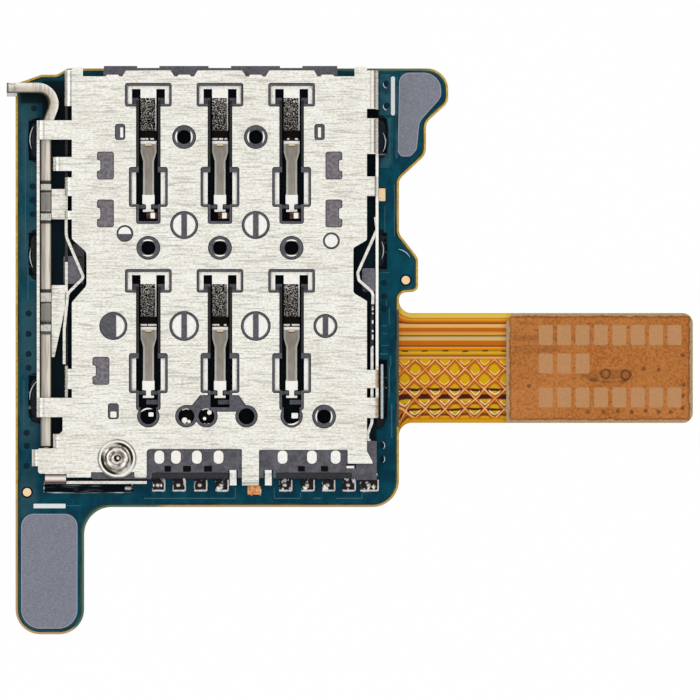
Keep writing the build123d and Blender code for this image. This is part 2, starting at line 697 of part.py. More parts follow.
terminals = []
for name, column, row, side, tail_x, oval_x, bends in TERMINALS:
    x = COLUMNS[column]
    top = ROWS[row]
    rail_end = top - FRAME_REAR
    with BuildPart() as terminal:
        with BuildSketch(Plane.XY.offset(STAMPING_BOTTOM)):
            # Frame round the contact: bar, legs, rails and the root tongue
            area(x - LEG_OUTER, x + LEG_OUTER, top - BRACKET_REAR, top - BRACKET_FRONT)
            for hand in (-1, 1):
                legs = sorted([x + hand * LEG_INNER, x + hand * LEG_OUTER])
                jogs = sorted([x + hand * RAIL_INNER, x + hand * LEG_OUTER])
                rails = sorted([x + hand * RAIL_INNER, x + hand * (RAIL_INNER + RAIL_WIDTH)])
                area(legs[0], legs[1], top - LEG_REAR, top - BRACKET_FRONT)
                area(jogs[0], jogs[1], top - LEG_REAR - RAIL_WIDTH, top - LEG_REAR)
                area(rails[0], rails[1], rail_end, top - LEG_REAR)
            area(x - TONGUE_HALF, x + TONGUE_HALF, top - HINGE_DEPTH, top - BRACKET_REAR)
            # Lead to the rear, wider where it becomes the solder tail
            start = (x + side * RAIL_MID, rail_end + 0.05)
            lead([start] + bends + [(tail_x, SPREAD_TO), (tail_x, SPREAD_TO - 0.2)])
            area(tail_x - TAIL_LEAD / 2, tail_x + TAIL_LEAD / 2, SOLDER_TAIL_FRONT, SPREAD_TO)
            # Branches to the round marks
            for mark_x, mark_y, radius, left_name, right_name in MARKS:
                for owner, hand in ((left_name, -1), (right_name, 1)):
                    target = mark_x + hand * radius / 2
                    toward = 1 if mark_x > x else -1
                    if owner == name and row == 1:
                        lead([(x + toward * RAIL_MID, mark_y), (target, mark_y)])
                    elif owner == name and mark_x == COLUMN_PITCH / 2:
                        start = (x + toward * RAIL_MID, rail_end + 0.05)
                        lead([start, (target, mark_y + 0.1), (target, mark_y)])
                    elif owner == name and left_name == right_name:
                        lead([(mark_x, mark_y), (target, mark_y)])
        extrude(amount=STAMPING)
        for mark_x, mark_y, radius, left_name, right_name in MARKS:
            for owner, hand in ((left_name, 1), (right_name, -1)):
                if owner == name:
                    with BuildSketch(Plane.XY.offset(STAMPING_BOTTOM)):
                        with Locations((mark_x, mark_y)):
                            Circle(radius - MARK_RING)
                        cut = sorted([mark_x + hand * radius, mark_x - hand * MARK_BAR_HALF])
                        area(cut[0], cut[1], mark_y - radius, mark_y + radius, mode=Mode.SUBTRACT)
                    extrude(amount=MARK_TOP - STAMPING_BOTTOM)
        oval_pad(oval_x)
        solder_tail(tail_x, TAIL_LEAD)
    save(terminal, name)
    terminals.append(terminal.part)


# Two upright tabs beside the centre tongue
TAB_HALF = 0.12
TAB_REAR = -8.94
TABS = [("rear_tab_left", 0.46), ("rear_tab_right", 1.71)]
for name, tab_x in TABS:
    left = tab_x - TAB_HALF
    right = tab_x + TAB_HALF
    with BuildPart() as rear_tab:
        block(left, right, SOLDER_TAIL_FRONT - SHEET, SOLDER_TAIL_FRONT, BOARD_TOP, PLATE_BOTTOM)
        block(left, right, TAB_REAR, SOLDER_TAIL_FRONT, BOARD_TOP, BOARD_TOP + SHEET)
    save(rear_tab, name)
    terminals.append(rear_tab.part)

# Ground stamping, which touches the plate's underside
GROUND_X = 3.85
GROUND_FRONT = -7.20
GROUND_REAR = -7.60
GROUND_OVAL_X = 4.10
with BuildPart() as ground_terminal:
    tail_left = GROUND_X - TAIL_LEAD / 2
    tail_right = GROUND_X + TAIL_LEAD / 2
    block(tail_left, tail_right, SOLDER_TAIL_FRONT, GROUND_FRONT, STAMPING_BOTTOM, STAMPING_TOP)
    block(GROUND_X - LEAD, GROUND_X + LEAD, GROUND_REAR, GROUND_FRONT, STAMPING_BOTTOM, PLATE_BOTTOM)
    oval_pad(GROUND_OVAL_X)
    solder_tail(GROUND_X, TAIL_LEAD)
save(ground_terminal, "ground_terminal")
terminals.append(ground_terminal.part)

# Switch stamping, which runs along the moulding to the detect spring's anchor
SWITCH_X = 4.58
ANCHOR_X = 5.24
with BuildPart() as switch_terminal:
    with BuildSketch(Plane.XY.offset(STAMPING_BOTTOM)):
        with BuildLine():
            Polyline((SWITCH_X, SOLDER_TAIL_FRONT), (SWITCH_X, -7.85), (ANCHOR_X, -7.45))
        trace(line_width=LEAD)
    extrude(amount=STAMPING)
    block(ANCHOR_X - SPRING, ANCHOR_X + SPRING, -7.60, -7.30, DETECT_TOP, STAMPING_TOP)
    solder_tail(SWITCH_X, TAIL_LEAD)
save(switch_terminal, "switch_terminal")
terminals.append(switch_terminal.part)

# Solder foot of the corner block
HOLD_LEFT = 5.02
HOLD_RIGHT = 5.58
HOLD_FRONT = -8.50
HOLD_REAR = -9.17
HOLD_TOP = 1.20
HOLD_CORNER = 0.15
with BuildPart() as corner_hold_down:
    with BuildSketch(Plane.XY.offset(BOARD_TOP)):
        outline(
            [
                (HOLD_LEFT, HOLD_FRONT, 0),
                (HOLD_RIGHT, HOLD_FRONT, 0),
                (HOLD_RIGHT, HOLD_REAR, HOLD_CORNER),
                (HOLD_LEFT, HOLD_REAR, HOLD_CORNER),
            ]
        )
    extrude(amount=SHEET)
    block(HOLD_LEFT, HOLD_RIGHT, HOLD_FRONT - SHEET, HOLD_FRONT, BOARD_TOP, HOLD_TOP)
save(corner_hold_down, "corner_hold_down")

# Detect spring: a fixed anchor and the leaf that the tray pushes aside
with BuildPart() as detect_anchor:
    with BuildSketch(Plane.XY.offset(DETECT_BOTTOM)):
        with BuildLine():
            FilletPolyline(
                (DETECT_X, DETECT_ROOT),
                (DETECT_X, -6.70),
                (ANCHOR_X, -7.10),
                (ANCHOR_X, -7.70),
                radius=0.25,
            )
        trace(line_width=SPRING)
    extrude(amount=DETECT_TOP - DETECT_BOTTOM)
save(detect_anchor, "detect_anchor")

with BuildPart() as detect_spring:
    with BuildSketch(Plane.XY.offset(DETECT_BOTTOM)):
        with BuildLine():
            FilletPolyline(
                (5.51, 0.585),
                (5.57, 0.15),
                (4.88, -1.40),
                (4.93, -1.66),
                (5.43, -2.10),
                (DETECT_X, -3.20),
                (DETECT_X, DETECT_ROOT),
                radius=[0.25, 0.12, 0.08, 0.25, 0.8],
            )
        trace(line_width=SPRING)
    extrude(amount=DETECT_TOP - DETECT_BOTTOM)
save(detect_spring, "detect_spring")

# Insulator: one moulding below the plate that fills the plate's openings
INSULATOR_LEFT = PLATE_LEFT + INSULATOR_INSET
INSULATOR_RIGHT = PLATE_RIGHT - INSULATOR_INSET
REAR_BAR_FRONT = -8.34
REAR_BAR_REAR = -8.67
REAR_BAR_BOTTOM = BOARD_TOP + STAMPING + 0.02
BLOCK_REAR = -8.71
BLOCK_RIGHT = -2.45
REAR_BARS = [(-2.45, 0.74), (1.43, 4.90)]
CORNER_LEFT = 4.83
CORNER_RIGHT = 5.56
CORNER_FRONT = -7.36
CORNER_REAR = -8.74
CORNER_RAISED_FROM = -8.18
CORNER_TOP = 1.92
STEM_OPEN = STEM_HALF - RIM
LEDGE_FRONT = 4.33
LEDGE_REAR = 4.45
LEDGE_INNER = 0.125
LEDGE_TOP = 1.70
STOP_FRONT = 4.64
STOP_REAR = 4.80
STOP_LEFT = 0.07
WIDE_OPEN = 3.17
COLLAR_ROOM = 0.20

with BuildPart() as insulator:
    with BuildSketch(Plane.XY.offset(INSULATOR_BOTTOM)):
        outline(
            [
                (INSULATOR_LEFT, PLATE_FRONT, 0),
                (LIP_LEFT, PLATE_FRONT, 0),
                (LIP_LEFT, LIP_FRONT, 0.05),
                (LIP_RIGHT, LIP_FRONT, 0.05),
                (LIP_RIGHT, PLATE_FRONT, 0),
                (INSULATOR_RIGHT, PLATE_FRONT, 0),
                (INSULATOR_RIGHT, -0.23, 0.10),
                (BAY_RIGHT, -0.51, 0.15),
                (BAY_RIGHT, -2.11, 0.15),
                (INSULATOR_RIGHT, -2.39, 0.10),
                (INSULATOR_RIGHT, REAR_BAR_REAR, 0),
                (BLOCK_RIGHT, REAR_BAR_REAR, 0),
                (BLOCK_RIGHT, BLOCK_REAR, 0),
                (-4.57, BLOCK_REAR, 0.10),
                (-4.57, -6.80, 0.30),
                (INSULATOR_LEFT, -6.20, 0.30),
                (INSULATOR_LEFT, -2.44, 0.10),
                (BAY_LEFT, -1.85, 0.25),
                (BAY_LEFT, -0.66, 0.25),
                (INSULATOR_LEFT, -0.20, 0.15),
            ]
        )
        for tooth_x, tooth_width in ((-3.53, 1.18), (-1.28, 1.74), (1.26, 1.74), (3.54, 1.24)):
            half = tooth_width / 2
            area(tooth_x - half, tooth_x + half, LIP_FRONT - 0.05, LIP_FRONT + LIP_TEETH)
    extrude(amount=PLATE_BOTTOM - INSULATOR_BOTTOM)
    # Raised parts that fill the plate's openings and its front edge
    extrude(raised_fills.sketch, amount=SHEET)
    # Rear bars and the corner block stand on the board
    for x_from, x_to in REAR_BARS:
        block(x_from, x_to, REAR_BAR_REAR, REAR_BAR_FRONT, REAR_BAR_BOTTOM, PLATE_BOTTOM)
    block(CORNER_LEFT, CORNER_RIGHT, CORNER_REAR, CORNER_FRONT, BOARD_TOP, PLATE_BOTTOM)
    block(CORNER_LEFT, CORNER_RIGHT, CORNER_REAR, CORNER_RAISED_FROM, PLATE_BOTTOM, CORNER_TOP)
    # Slots for the rear tabs
    for name, tab_x in TABS:
        left = tab_x - TAB_HALF - RIM / 2
        right = tab_x + TAB_HALF + RIM / 2
        block(left, right, REAR_BAR_REAR, SOLDER_TAIL_FRONT, BOARD_TOP, SHELL_TOP, mode=Mode.SUBTRACT)
    # Through openings: contacts, ringed holes, lobes and room for the rivet's collar
    with BuildSketch(Plane.XY.offset(BOARD_TOP)):
        for x in COLUMNS:
            for top in ROWS:
                area(x - STEM_OPEN, x + STEM_OPEN, top - POCKET_END + RIM, top - HINGE_DEPTH)
                area(x - LEG_INNER, x + LEG_INNER, top - HINGE_DEPTH, top - BRACKET_REAR)
                area(x - RAIL_INNER, x + RAIL_INNER, top - WIDE_END + RIM, top - WIDE_OPEN)
        with Locations(RINGS):
            Circle(RING_BORE)
        with Locations([(x, LOBE_Y) for x in LOBES]):
            Circle(LOBE_BORE)
        for x in (COLUMNS[0], COLUMNS[2]):
            area(x - LOBE_BORE, x + LOBE_BORE, LOBE_Y, ROWS[1] - POCKET_END + RIM)
        with Locations((PIVOT_X, PIVOT_Y)):
            Circle(PIN_COLLAR + COLLAR_ROOM)
    extrude(amount=SHELL_TOP - BOARD_TOP, mode=Mode.SUBTRACT)
    # Ledges that hold each contact's tip, and a stop behind it
    with BuildSketch(Plane.XY.offset(INSULATOR_BOTTOM)):
        for x in COLUMNS:
            for top in ROWS:
                area(x - STEM_OPEN, x - LEDGE_INNER, top - LEDGE_REAR, top - LEDGE_FRONT)
                area(x + LEDGE_INNER, x + STEM_OPEN, top - LEDGE_REAR, top - LEDGE_FRONT)
                area(x - STOP_LEFT, x + STEM_OPEN, top - STOP_REAR, top - STOP_FRONT)
    extrude(amount=LEDGE_TOP - INSULATOR_BOTTOM)
    # Pockets down to the stampings
    with BuildSketch(Plane.XY.offset(STAMPING_TOP)):
        for x in COLUMNS:
            for top in ROWS:
                area(x - WIDE_HALF + RIM, x + WIDE_HALF - RIM, top - WIDE_END + RIM, top - WIDE_OPEN)
                area(x - BAR_HALF + RIM, x + BAR_HALF - RIM, top - BAR_DEPTH + RIM, top - RIM)
    extrude(amount=SHELL_TOP - STAMPING_TOP, mode=Mode.SUBTRACT)
    # The round marks are open down to the stampings
    with BuildSketch(Plane.XY.offset(STAMPING_TOP)):
        for x, y, radius, left, right in MARKS:
            with Locations((x, y)):
                Circle(radius - MARK_RING)
            area(x - MARK_BAR_HALF, x + MARK_BAR_HALF, y - radius, y + radius, mode=Mode.SUBTRACT)
            if not left:
                area(x - radius, x, y - radius, y + radius, mode=Mode.SUBTRACT)
    extrude(amount=SHELL_TOP - STAMPING_TOP, mode=Mode.SUBTRACT)
    # The stampings are moulded in
    add(terminals, mode=Mode.SUBTRACT)
    add(detect_anchor.part, mode=Mode.SUBTRACT)
    add(corner_hold_down.part, mode=Mode.SUBTRACT)
save(insulator, "insulator")

# Spring contacts, bent in the YZ plane and trimmed to their outline in plan.
# Distances run from the bend at the root to the tip.
HINGE_Z = STAMPING_TOP
ROOT_Z = STAMPING_BOTTOM + STAMPING / 2
PROFILE = [
    (0.00, ROOT_Z, 0),
    (0.15, ROOT_Z, 0.15),
    (1.12, 1.27, 0.15),
    (1.42, CROWN_Z, 0.12),
    (1.64, CROWN_Z, 0.20),
    (3.38, TIP_Z, 0.40),
    (CONTACT_LENGTH, TIP_Z, 0),
]
PLAN = [
    (0.00, TONGUE_HALF),
    (1.92, TONGUE_HALF),
    (2.24, BLADE_HALF),
    (3.38, BLADE_HALF),
    (3.46, PRESS_HALF),
    (3.76, PRESS_HALF),
    (3.78, NECK_HALF),
    (3.96, NECK_HALF),
    (3.96, TIP_HALF),
    (CONTACT_LENGTH, TIP_HALF),
]
contact_number = 0
for top in ROWS:
    for x in COLUMNS:
        contact_number += 1
        root_y = top - HINGE_DEPTH
        with BuildPart() as contact:
            with BuildSketch(Plane.YZ.offset(x - TONGUE_HALF)):
                with BuildLine():
                    FilletPolyline(
                        *[(root_y - distance, z) for distance, z, radius in PROFILE],
                        radius=[radius for distance, z, radius in PROFILE[1:-1]],
                    )
                trace(line_width=STAMPING)
            extrude(amount=2 * TONGUE_HALF)
            with BuildSketch(Plane.XY.offset(CROWN_Z - 1)):
                with BuildLine():
                    right_side = [(x + half, root_y - distance) for distance, half in PLAN]
                    left_side = [(x - half, root_y - distance) for distance, half in reversed(PLAN)]
                    Polyline(*right_side, *left_side, close=True)
                make_face()
            extrude(amount=2, mode=Mode.INTERSECT)
        save(contact, f"contact_{contact_number}")

# Push rod: a flat strip with a hook at its head and two notches in its top
with BuildPart() as push_rod:
    with BuildSketch(Plane.XY.offset(ROD_BOTTOM)):
        with BuildLine():
            FilletPolyline(
                (ROD_HEAD_X, ROD_HEAD_Y),
                (-6.10, ROD_HEAD_Y),
                (-5.87, 4.60),
                (ROD_X, 3.80),
                (ROD_X, ROD_END),
                radius=[0.55, 0.55, 1.50],
            )
        trace(line_width=ROD_WIDTH)
        area(ROD_HEAD_X, ROD_HEAD_X + 0.36, ROD_HEAD_Y - 0.30, ROD_HEAD_Y)
    extrude(amount=ROD_TOP - ROD_BOTTOM)
    with BuildSketch(Plane.YZ.offset(ROD_X - ROD_WIDTH)):
        for notch in ((1.90, 1.44, 0.80, 0.34), (-2.00, -2.50, -3.07, -3.56)):
            outline(
                [
                    (notch[0], ROD_TOP, 0),
                    (notch[1], ROD_TOP - ROD_NOTCH, 0.10),
                    (notch[2], ROD_TOP - ROD_NOTCH, 0.10),
                    (notch[3], ROD_TOP, 0),
                ]
            )
    extrude(amount=2 * ROD_WIDTH, mode=Mode.SUBTRACT)
save(push_rod, "push_rod")

# Lever: its short arm's nose rests just off the rod's foot
NOSE_Y = ROD_END - LEVER_NOSE_GAP - LEVER_NOSE
SHORT_ARM_ANGLE = 180 - degrees(asin((NOSE_Y - PIVOT_Y) / LEVER_SHORT_ARM))


def lever_arm(angle, length, nose):
    """An arm that tapers from the hub to a round nose."""
    tip = (PIVOT_X + length * cos(radians(angle)), PIVOT_Y + length * sin(radians(angle)))
    with Locations(tip):
        Circle(nose)
    hub_edges = Circle(LEVER_HUB, mode=Mode.PRIVATE).moved(Location((PIVOT_X, PIVOT_Y))).edges()
    tip_edges = Circle(LEVER_TIP, mode=Mode.PRIVATE).moved(Location(tip)).edges()
    make_hull([*hub_edges, *tip_edges])


with BuildPart() as ejector_lever:
    with BuildSketch(Plane.XY.offset(LEVER_BOTTOM)):
        lever_arm(SHORT_ARM_ANGLE, LEVER_SHORT_ARM, LEVER_NOSE)
        lever_arm(0, LEVER_LONG_ARM, LEVER_LONG_NOSE)
        with Locations((PIVOT_X, PIVOT_Y)):
            Circle(PIN_RADIUS + PIN_PLAY, mode=Mode.SUBTRACT)
    extrude(amount=LEVER)
save(ejector_lever, "ejector_lever")

# Rivet: a flange below the lever, a shank through it, a collar up to the plate
# and a ringed head on top
FLANGE_BOTTOM = BOARD_TOP + 0.04
HEAD_TOP = SHELL_TOP + 0.06
with BuildPart() as rivet:
    for radius, z_from, z_to in (
        (PIN_COLLAR, FLANGE_BOTTOM, LEVER_BOTTOM - PIN_END_PLAY),
        (PIN_RADIUS, LEVER_BOTTOM - PIN_END_PLAY, LEVER_TOP + PIN_END_PLAY),
        (PIN_COLLAR, LEVER_TOP + PIN_END_PLAY, SHELL_TOP - SHEET / 2),
        (PIN_WASHER, SHELL_TOP - SHEET / 2, SHELL_TOP + 0.01),
        (PIN_HEAD, SHELL_TOP + 0.01, HEAD_TOP),
    ):
        with Locations((PIVOT_X, PIVOT_Y, z_from)):
            Cylinder(radius, z_to - z_from, align=(Align.CENTER, Align.CENTER, Align.MIN))
    with Locations((PIVOT_X, PIVOT_Y, HEAD_TOP)):
        Cone(0.02, 0.14, 0.06, align=(Align.CENTER, Align.CENTER, Align.MAX), mode=Mode.SUBTRACT)
save(rivet, "rivet")
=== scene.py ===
# %% [markdown]
# # A push-push card socket on its little circuit board
# The part is a pressed steel shell over a dark moulding, soldered to a petrol blue board with an amber
# flexible tail. The solids come ready from the CAD model. This lesson gives each of them its real finish,
# and adds the thin things that a solid model leaves out: solder mask, printed marks, vias, solder fillets
# and small bright edges.

# %% Load the fixed frame
import math

import bmesh
import bpy
from mathutils import Matrix, Vector


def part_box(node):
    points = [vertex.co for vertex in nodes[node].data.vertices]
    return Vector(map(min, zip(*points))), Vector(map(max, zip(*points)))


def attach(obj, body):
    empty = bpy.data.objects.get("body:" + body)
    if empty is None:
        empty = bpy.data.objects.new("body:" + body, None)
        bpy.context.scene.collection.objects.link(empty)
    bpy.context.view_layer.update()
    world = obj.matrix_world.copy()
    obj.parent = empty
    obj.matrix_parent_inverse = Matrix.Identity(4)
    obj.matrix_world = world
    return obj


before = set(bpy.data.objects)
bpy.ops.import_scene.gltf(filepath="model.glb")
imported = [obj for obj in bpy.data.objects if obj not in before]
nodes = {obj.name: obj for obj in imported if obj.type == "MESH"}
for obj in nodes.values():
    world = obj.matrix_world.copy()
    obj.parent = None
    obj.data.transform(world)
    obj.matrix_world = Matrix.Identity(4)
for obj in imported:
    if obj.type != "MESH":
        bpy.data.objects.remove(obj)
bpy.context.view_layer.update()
print("solids loaded:", len(nodes))

# %% [markdown]
# ## Units and places
# Blender works in metres, and this part is 24 mm long, so every size below is written in millimetres and
# scaled once, when a piece is finished. Places that were read from the photograph are written as its
# pixels: the camera looks straight down, so one scale and one origin turn a pixel into a place on the part.

# %% Millimetres and photograph pixels
MM = 0.001
PIXELS_PER_MM = 28.2
ORIGIN_PIXEL = (220.0, 233.5)


def spot(px, py):
    """The place on the part, in millimetres, of a pixel of the photograph."""
    return ((px - ORIGIN_PIXEL[0]) / PIXELS_PER_MM, (ORIGIN_PIXEL[1] - py) / PIXELS_PER_MM)


def across_pixels(x0, x1, y0, y1):
    """The places of two opposite corners of a box of pixels, as left, right, back and front."""
    left_x, top_y = spot(x0, y0)
    right_x, low_y = spot(x1, y1)
    return left_x, right_x, low_y, top_y


board_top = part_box("upper_board")[1].z / MM
print("board top", round(board_top, 3), "mm; one pixel is", round(1 / PIXELS_PER_MM, 4), "mm")

# %% [markdown]
# ## Colours as a screen shows them
# A picked colour is a screen value from 0 to 255, but shaders add up light, which is linear.
# Converting each colour once, where it is written, lets the lesson keep the familiar numbers. Blender's own
# picker does the same.

# %% Screen colours
def paint(red, green, blue):
    """A screen colour, 0 to 255, as the linear colour that shaders work in."""
    channels = [value / 255 for value in (red, green, blue)]
    return tuple(c / 12.92 if c <= 0.04045 else ((c + 0.055) / 1.055) ** 2.4 for c in channels) + (1.0,)


print("middle grey is", round(paint(128, 128, 128)[0], 3), "as light")

# %% [markdown]
# ## Shader sums written as sums
# A procedural material is mostly arithmetic. Math nodes could be added and wired one by one, which takes
# three lines a sum. A small class wraps an output socket and overloads the operators instead, so that
# `1 - mask` adds its own node.

# %% A socket that can be added and multiplied
def operation(kind, turned=False):
    """A method that adds one Math node; turned for sums that start with a number, such as 1 - mask."""
    return lambda flow, *others: flow.maths(kind, *((*others, flow) if turned else (flow, *others)))


class Flow:
    """An output socket in a material, with arithmetic for numbers."""

    def __init__(self, socket):
        self.socket = socket
        self.tree = socket.id_data

    def output(self, name):
        """Another output of the same node."""
        return Flow(self.socket.node.outputs[name])

    def maths(self, kind, *values, clamp=False):
        settings = {"operation": kind, "use_clamp": clamp}
        return add_node(self.tree, "ShaderNodeMath", settings, dict(enumerate(values)))

    __add__ = operation("ADD")
    __radd__ = operation("ADD", turned=True)
    __sub__ = operation("SUBTRACT")
    __rsub__ = operation("SUBTRACT", turned=True)
    __mul__ = operation("MULTIPLY")
    __rmul__ = operation("MULTIPLY", turned=True)
    __truediv__ = operation("DIVIDE")
    __abs__ = operation("ABSOLUTE")
    root = operation("SQRT")
    sine = operation("SINE")
    fraction = operation("FRACT")
    larger = operation("MAXIMUM")
    smaller = operation("MINIMUM")

    def wrapped(self, high, low=0.0):
        """The value brought back between low and high, as a pattern that repeats."""
        return self.maths("WRAP", self, high, low)

    def clamped(self):
        return self.maths("ADD", self, 0, clamp=True)


def public(kind):
    return [name for name in vars(kind) if not name.startswith("_")]


print("shader sums:", public(Flow))

# %% [markdown]
# ## One way to add a node
# Every node needs the same three things: its type, its settings, and what goes into its inputs. One
# function takes them in that order, because a setting such as a Mix node's data type decides which inputs
# count. A colour ramp keeps its colours as stops on a ramp, so they get a line of their own.

# %% Add a node with its settings and inputs
def add_node(tree, kind, settings=None, inputs=None, output=0):
    """Add one node, give it its settings first and its inputs second, and return one output as a Flow."""
    made = tree.nodes.new(kind)
    for name, value in (settings or {}).items():
        if name == "stops":
            ramp = made.color_ramp
            while len(ramp.elements) < len(value):
                ramp.elements.new(0.5)
            for element, (position, colour) in zip(ramp.elements, value):
                element.position = position
                element.color = colour
        else:
            setattr(made, name, value)
    for name, value in (inputs or {}).items():
        if isinstance(value, Flow):
            tree.links.new(value.socket, made.inputs[name])
        else:
            made.inputs[name].default_value = value
    return Flow(made.outputs[output])


print("nodes are added by", add_node.__name__)

# %% [markdown]
# ## A finish, and its place on the part
# A finish is a material while it is being made. Its patterns could hang on UV coordinates, which need
# unwrapping, or on the world, which a moving piece would slide through. The object's own coordinates need
# neither, so a finish starts with its place on the part in millimetres.

# %% A material that knows its place
class Placed:
    """A material in the making. `where` is the place on the part in millimetres; x, y and z are its parts."""

    def __init__(self, name, roughness=0.5, metallic=0.0, **constants):
        self.material = bpy.data.materials.new(name)
        self.material.use_nodes = True
        self.tree = self.material.node_tree
        self.shader = self.tree.nodes["Principled BSDF"]
        self.tone = None
        for name_of_input, value in {"Roughness": roughness, "Metallic": metallic, **constants}.items():
            self.shader.inputs[name_of_input.replace("_", " ")].default_value = value
        place = self.node("ShaderNodeTexCoord", output="Object")
        self.where = self.node("ShaderNodeVectorMath", {"operation": "SCALE"}, {0: place, "Scale": 1 / MM})
        self.x = self.node("ShaderNodeSeparateXYZ", inputs={0: self.where})
        self.y = self.x.output("Y")
        self.z = self.x.output("Z")

    def node(self, kind, settings=None, inputs=None, output=0):
        return add_node(self.tree, kind, settings, inputs, output)

    def noise(self, scale, detail=2.0, stretch=(1, 1, 1), shift=0.0):
        """Soft noise around 0.5; scale is in cycles per millimetre, stretched along an axis if wanted."""
        places = {"Vector": self.where, "Scale": stretch, "Location": (shift, shift, shift)}
        drawn = self.node("ShaderNodeMapping", None, places)
        return self.node("ShaderNodeTexNoise", None, {"Vector": drawn, "Scale": scale, "Detail": detail})


print("a placed material has", public(Placed))

# %% [markdown]
# ## Masks
# A mask says where something shows: 1 there, 0 elsewhere, soft between. Painting masks by hand would tie
# them to one image size. Here `step` is an edge, `band` a stripe and `box` a rectangle in millimetres;
# `patch`, `columns` and `rows` take pixels of the photograph, because that is where their numbers come
# from.

# %% Edges, stripes, boxes and circles
class Masked(Placed):
    """A material with masks."""

    def step(self, value, low, high):
        """0 below low and 1 above high, smooth between. Low may be above high to turn it round."""
        settings = {"interpolation_type": "SMOOTHSTEP"}
        return self.node("ShaderNodeMapRange", settings, {"Value": value, "From Min": low, "From Max": high})

    def band(self, value, low, high, soft=0.01):
        """1 between low and high, 0 outside."""
        return self.step(value, low - soft, low + soft) * self.step(value, high + soft, high - soft)

    def box(self, x0, x1, y0, y1, soft=0.01):
        return self.band(self.x, x0, x1, soft) * self.band(self.y, y0, y1, soft)

    def patch(self, x0, x1, y0, y1, soft=0.01):
        return self.box(*across_pixels(x0, x1, y0, y1), soft)

    def columns(self, first, last, soft=0.01):
        return self.band(self.x, spot(first, 0)[0], spot(last, 0)[0], soft)

    def rows(self, first, last, soft=0.01):
        return self.band(self.y, spot(0, last)[1], spot(0, first)[1], soft)

    def radius(self, x, y):
        """The distance in plan from a place."""
        dx = self.x - x
        dy = self.y - y
        return (dx * dx + dy * dy).root()


print("masks:", public(Masked))

# %% [markdown]
# ## Coats of colour
# Colours are laid over each other in coats, as a painter works, each as thick as its mask says. Mix nodes
# wired one by one would hide that order; a list of coats shows it. Relief comes from a Bump node, which
# costs no faces, and one noise often drives roughness and relief together, because on a real surface the
# two change as one.

# %% Colour, roughness and relief
class Finish(Masked):
    """A material with colours and relief."""

    def blend(self, factor, first, second):
        """A colour between two colours; each is a screen colour, a linear one with its alpha, or a Flow."""
        mixed = [c if isinstance(c, Flow) or len(c) == 4 else paint(*c) for c in (first, second)]
        settings = {"data_type": "RGBA", "clamp_factor": True}
        return self.node("ShaderNodeMix", settings, {0: factor, 6: mixed[0], 7: mixed[1]}, output=2)

    def ramp(self, stops, place):
        """The colour at a place from 0 to 1 along stops, each a position and a screen colour."""
        painted = [(position, paint(*shade)) for position, *shade in stops]
        return self.node("ShaderNodeValToRGB", {"stops": painted}, {0: place})

    def layered(self, colour, *coats):
        """A colour under coats, each an amount and a colour."""
        for amount, coat_colour in coats:
            colour = self.blend(amount, colour, coat_colour)
        return colour

    def cover(self, *coat):
        """Lay one more coat over the tone so far."""
        self.tone = self.layered(self.tone, coat)

    def set(self, name, value):
        """Link one of the shader's inputs."""
        self.tree.links.new(value.socket, self.shader.inputs[name])

    def bump(self, height, depth, strength=1.0):
        """Give the surface relief; depth is in millimetres for a height of 1."""
        inputs = {"Height": height, "Distance": depth * MM, "Strength": strength}
        self.set("Normal", self.node("ShaderNodeBump", None, inputs))

    def surface(self, tone, noise, change, level, depth):
        """Set the colour, and let one noise change the roughness about a level and lift the surface."""
        self.set("Base Color", tone)
        self.set("Roughness", noise * change + level)
        self.bump(noise, depth)


print("a finish can", public(Finish))

# %% [markdown]
# ## The camera
# The photograph looks straight down with almost no perspective. An orthographic camera would have none at
# all; a very long lens high above the board leaves the little that a real one has, so the walls still show
# a sliver.

# %% Camera straight above, the photograph's frame
PHOTO_SIDE = 700
LENS = 1000.0
SENSOR = 36.0
SHARP_LEVEL = 1.8
frame_width = PHOTO_SIDE / PIXELS_PER_MM
centre = spot(PHOTO_SIDE / 2, PHOTO_SIDE / 2)
camera_data = bpy.data.cameras.new("camera")
camera_data.lens = LENS
camera_data.sensor_width = SENSOR
camera_data.clip_start = 0.01
camera_data.clip_end = 5.0
camera = bpy.data.objects.new("camera", camera_data)
bpy.context.scene.collection.objects.link(camera)
height = frame_width * LENS / SENSOR + SHARP_LEVEL
camera.location = (centre[0] * MM, centre[1] * MM, height * MM)
bpy.context.scene.camera = camera
print("camera", round(height), "mm above the board, frame", round(frame_width, 2), "mm wide")

# %% [markdown]
# ## The sky
# Bright metal shows what it mirrors. A plain white sky would leave it flat, so this one darkens towards the
# horizon, as a studio does: that draws dark lines along bends and edges. Rays that come straight from the
# camera see plain white, since the photograph's background is white.

# %% A sky that is bright above and dark at the horizon
SKY_STOPS = [
    (0.00, (0.30, 0.30, 0.30, 1)), (0.20, (0.16, 0.16, 0.165, 1)), (0.50, (0.42, 0.42, 0.42, 1)),
    (0.72, (0.86, 0.86, 0.86, 1)), (1.00, (0.96, 0.96, 0.96, 1)),
]


def whiteness(tree, mirrored):
    """1 where the camera looks straight at something, and a share of it in mirrors and through glass."""
    ray = add_node(tree, "ShaderNodeLightPath", output="Is Camera Ray")
    return (ray + (ray.output("Is Glossy Ray") + ray.output("Is Transmission Ray")) * mirrored).clamped()


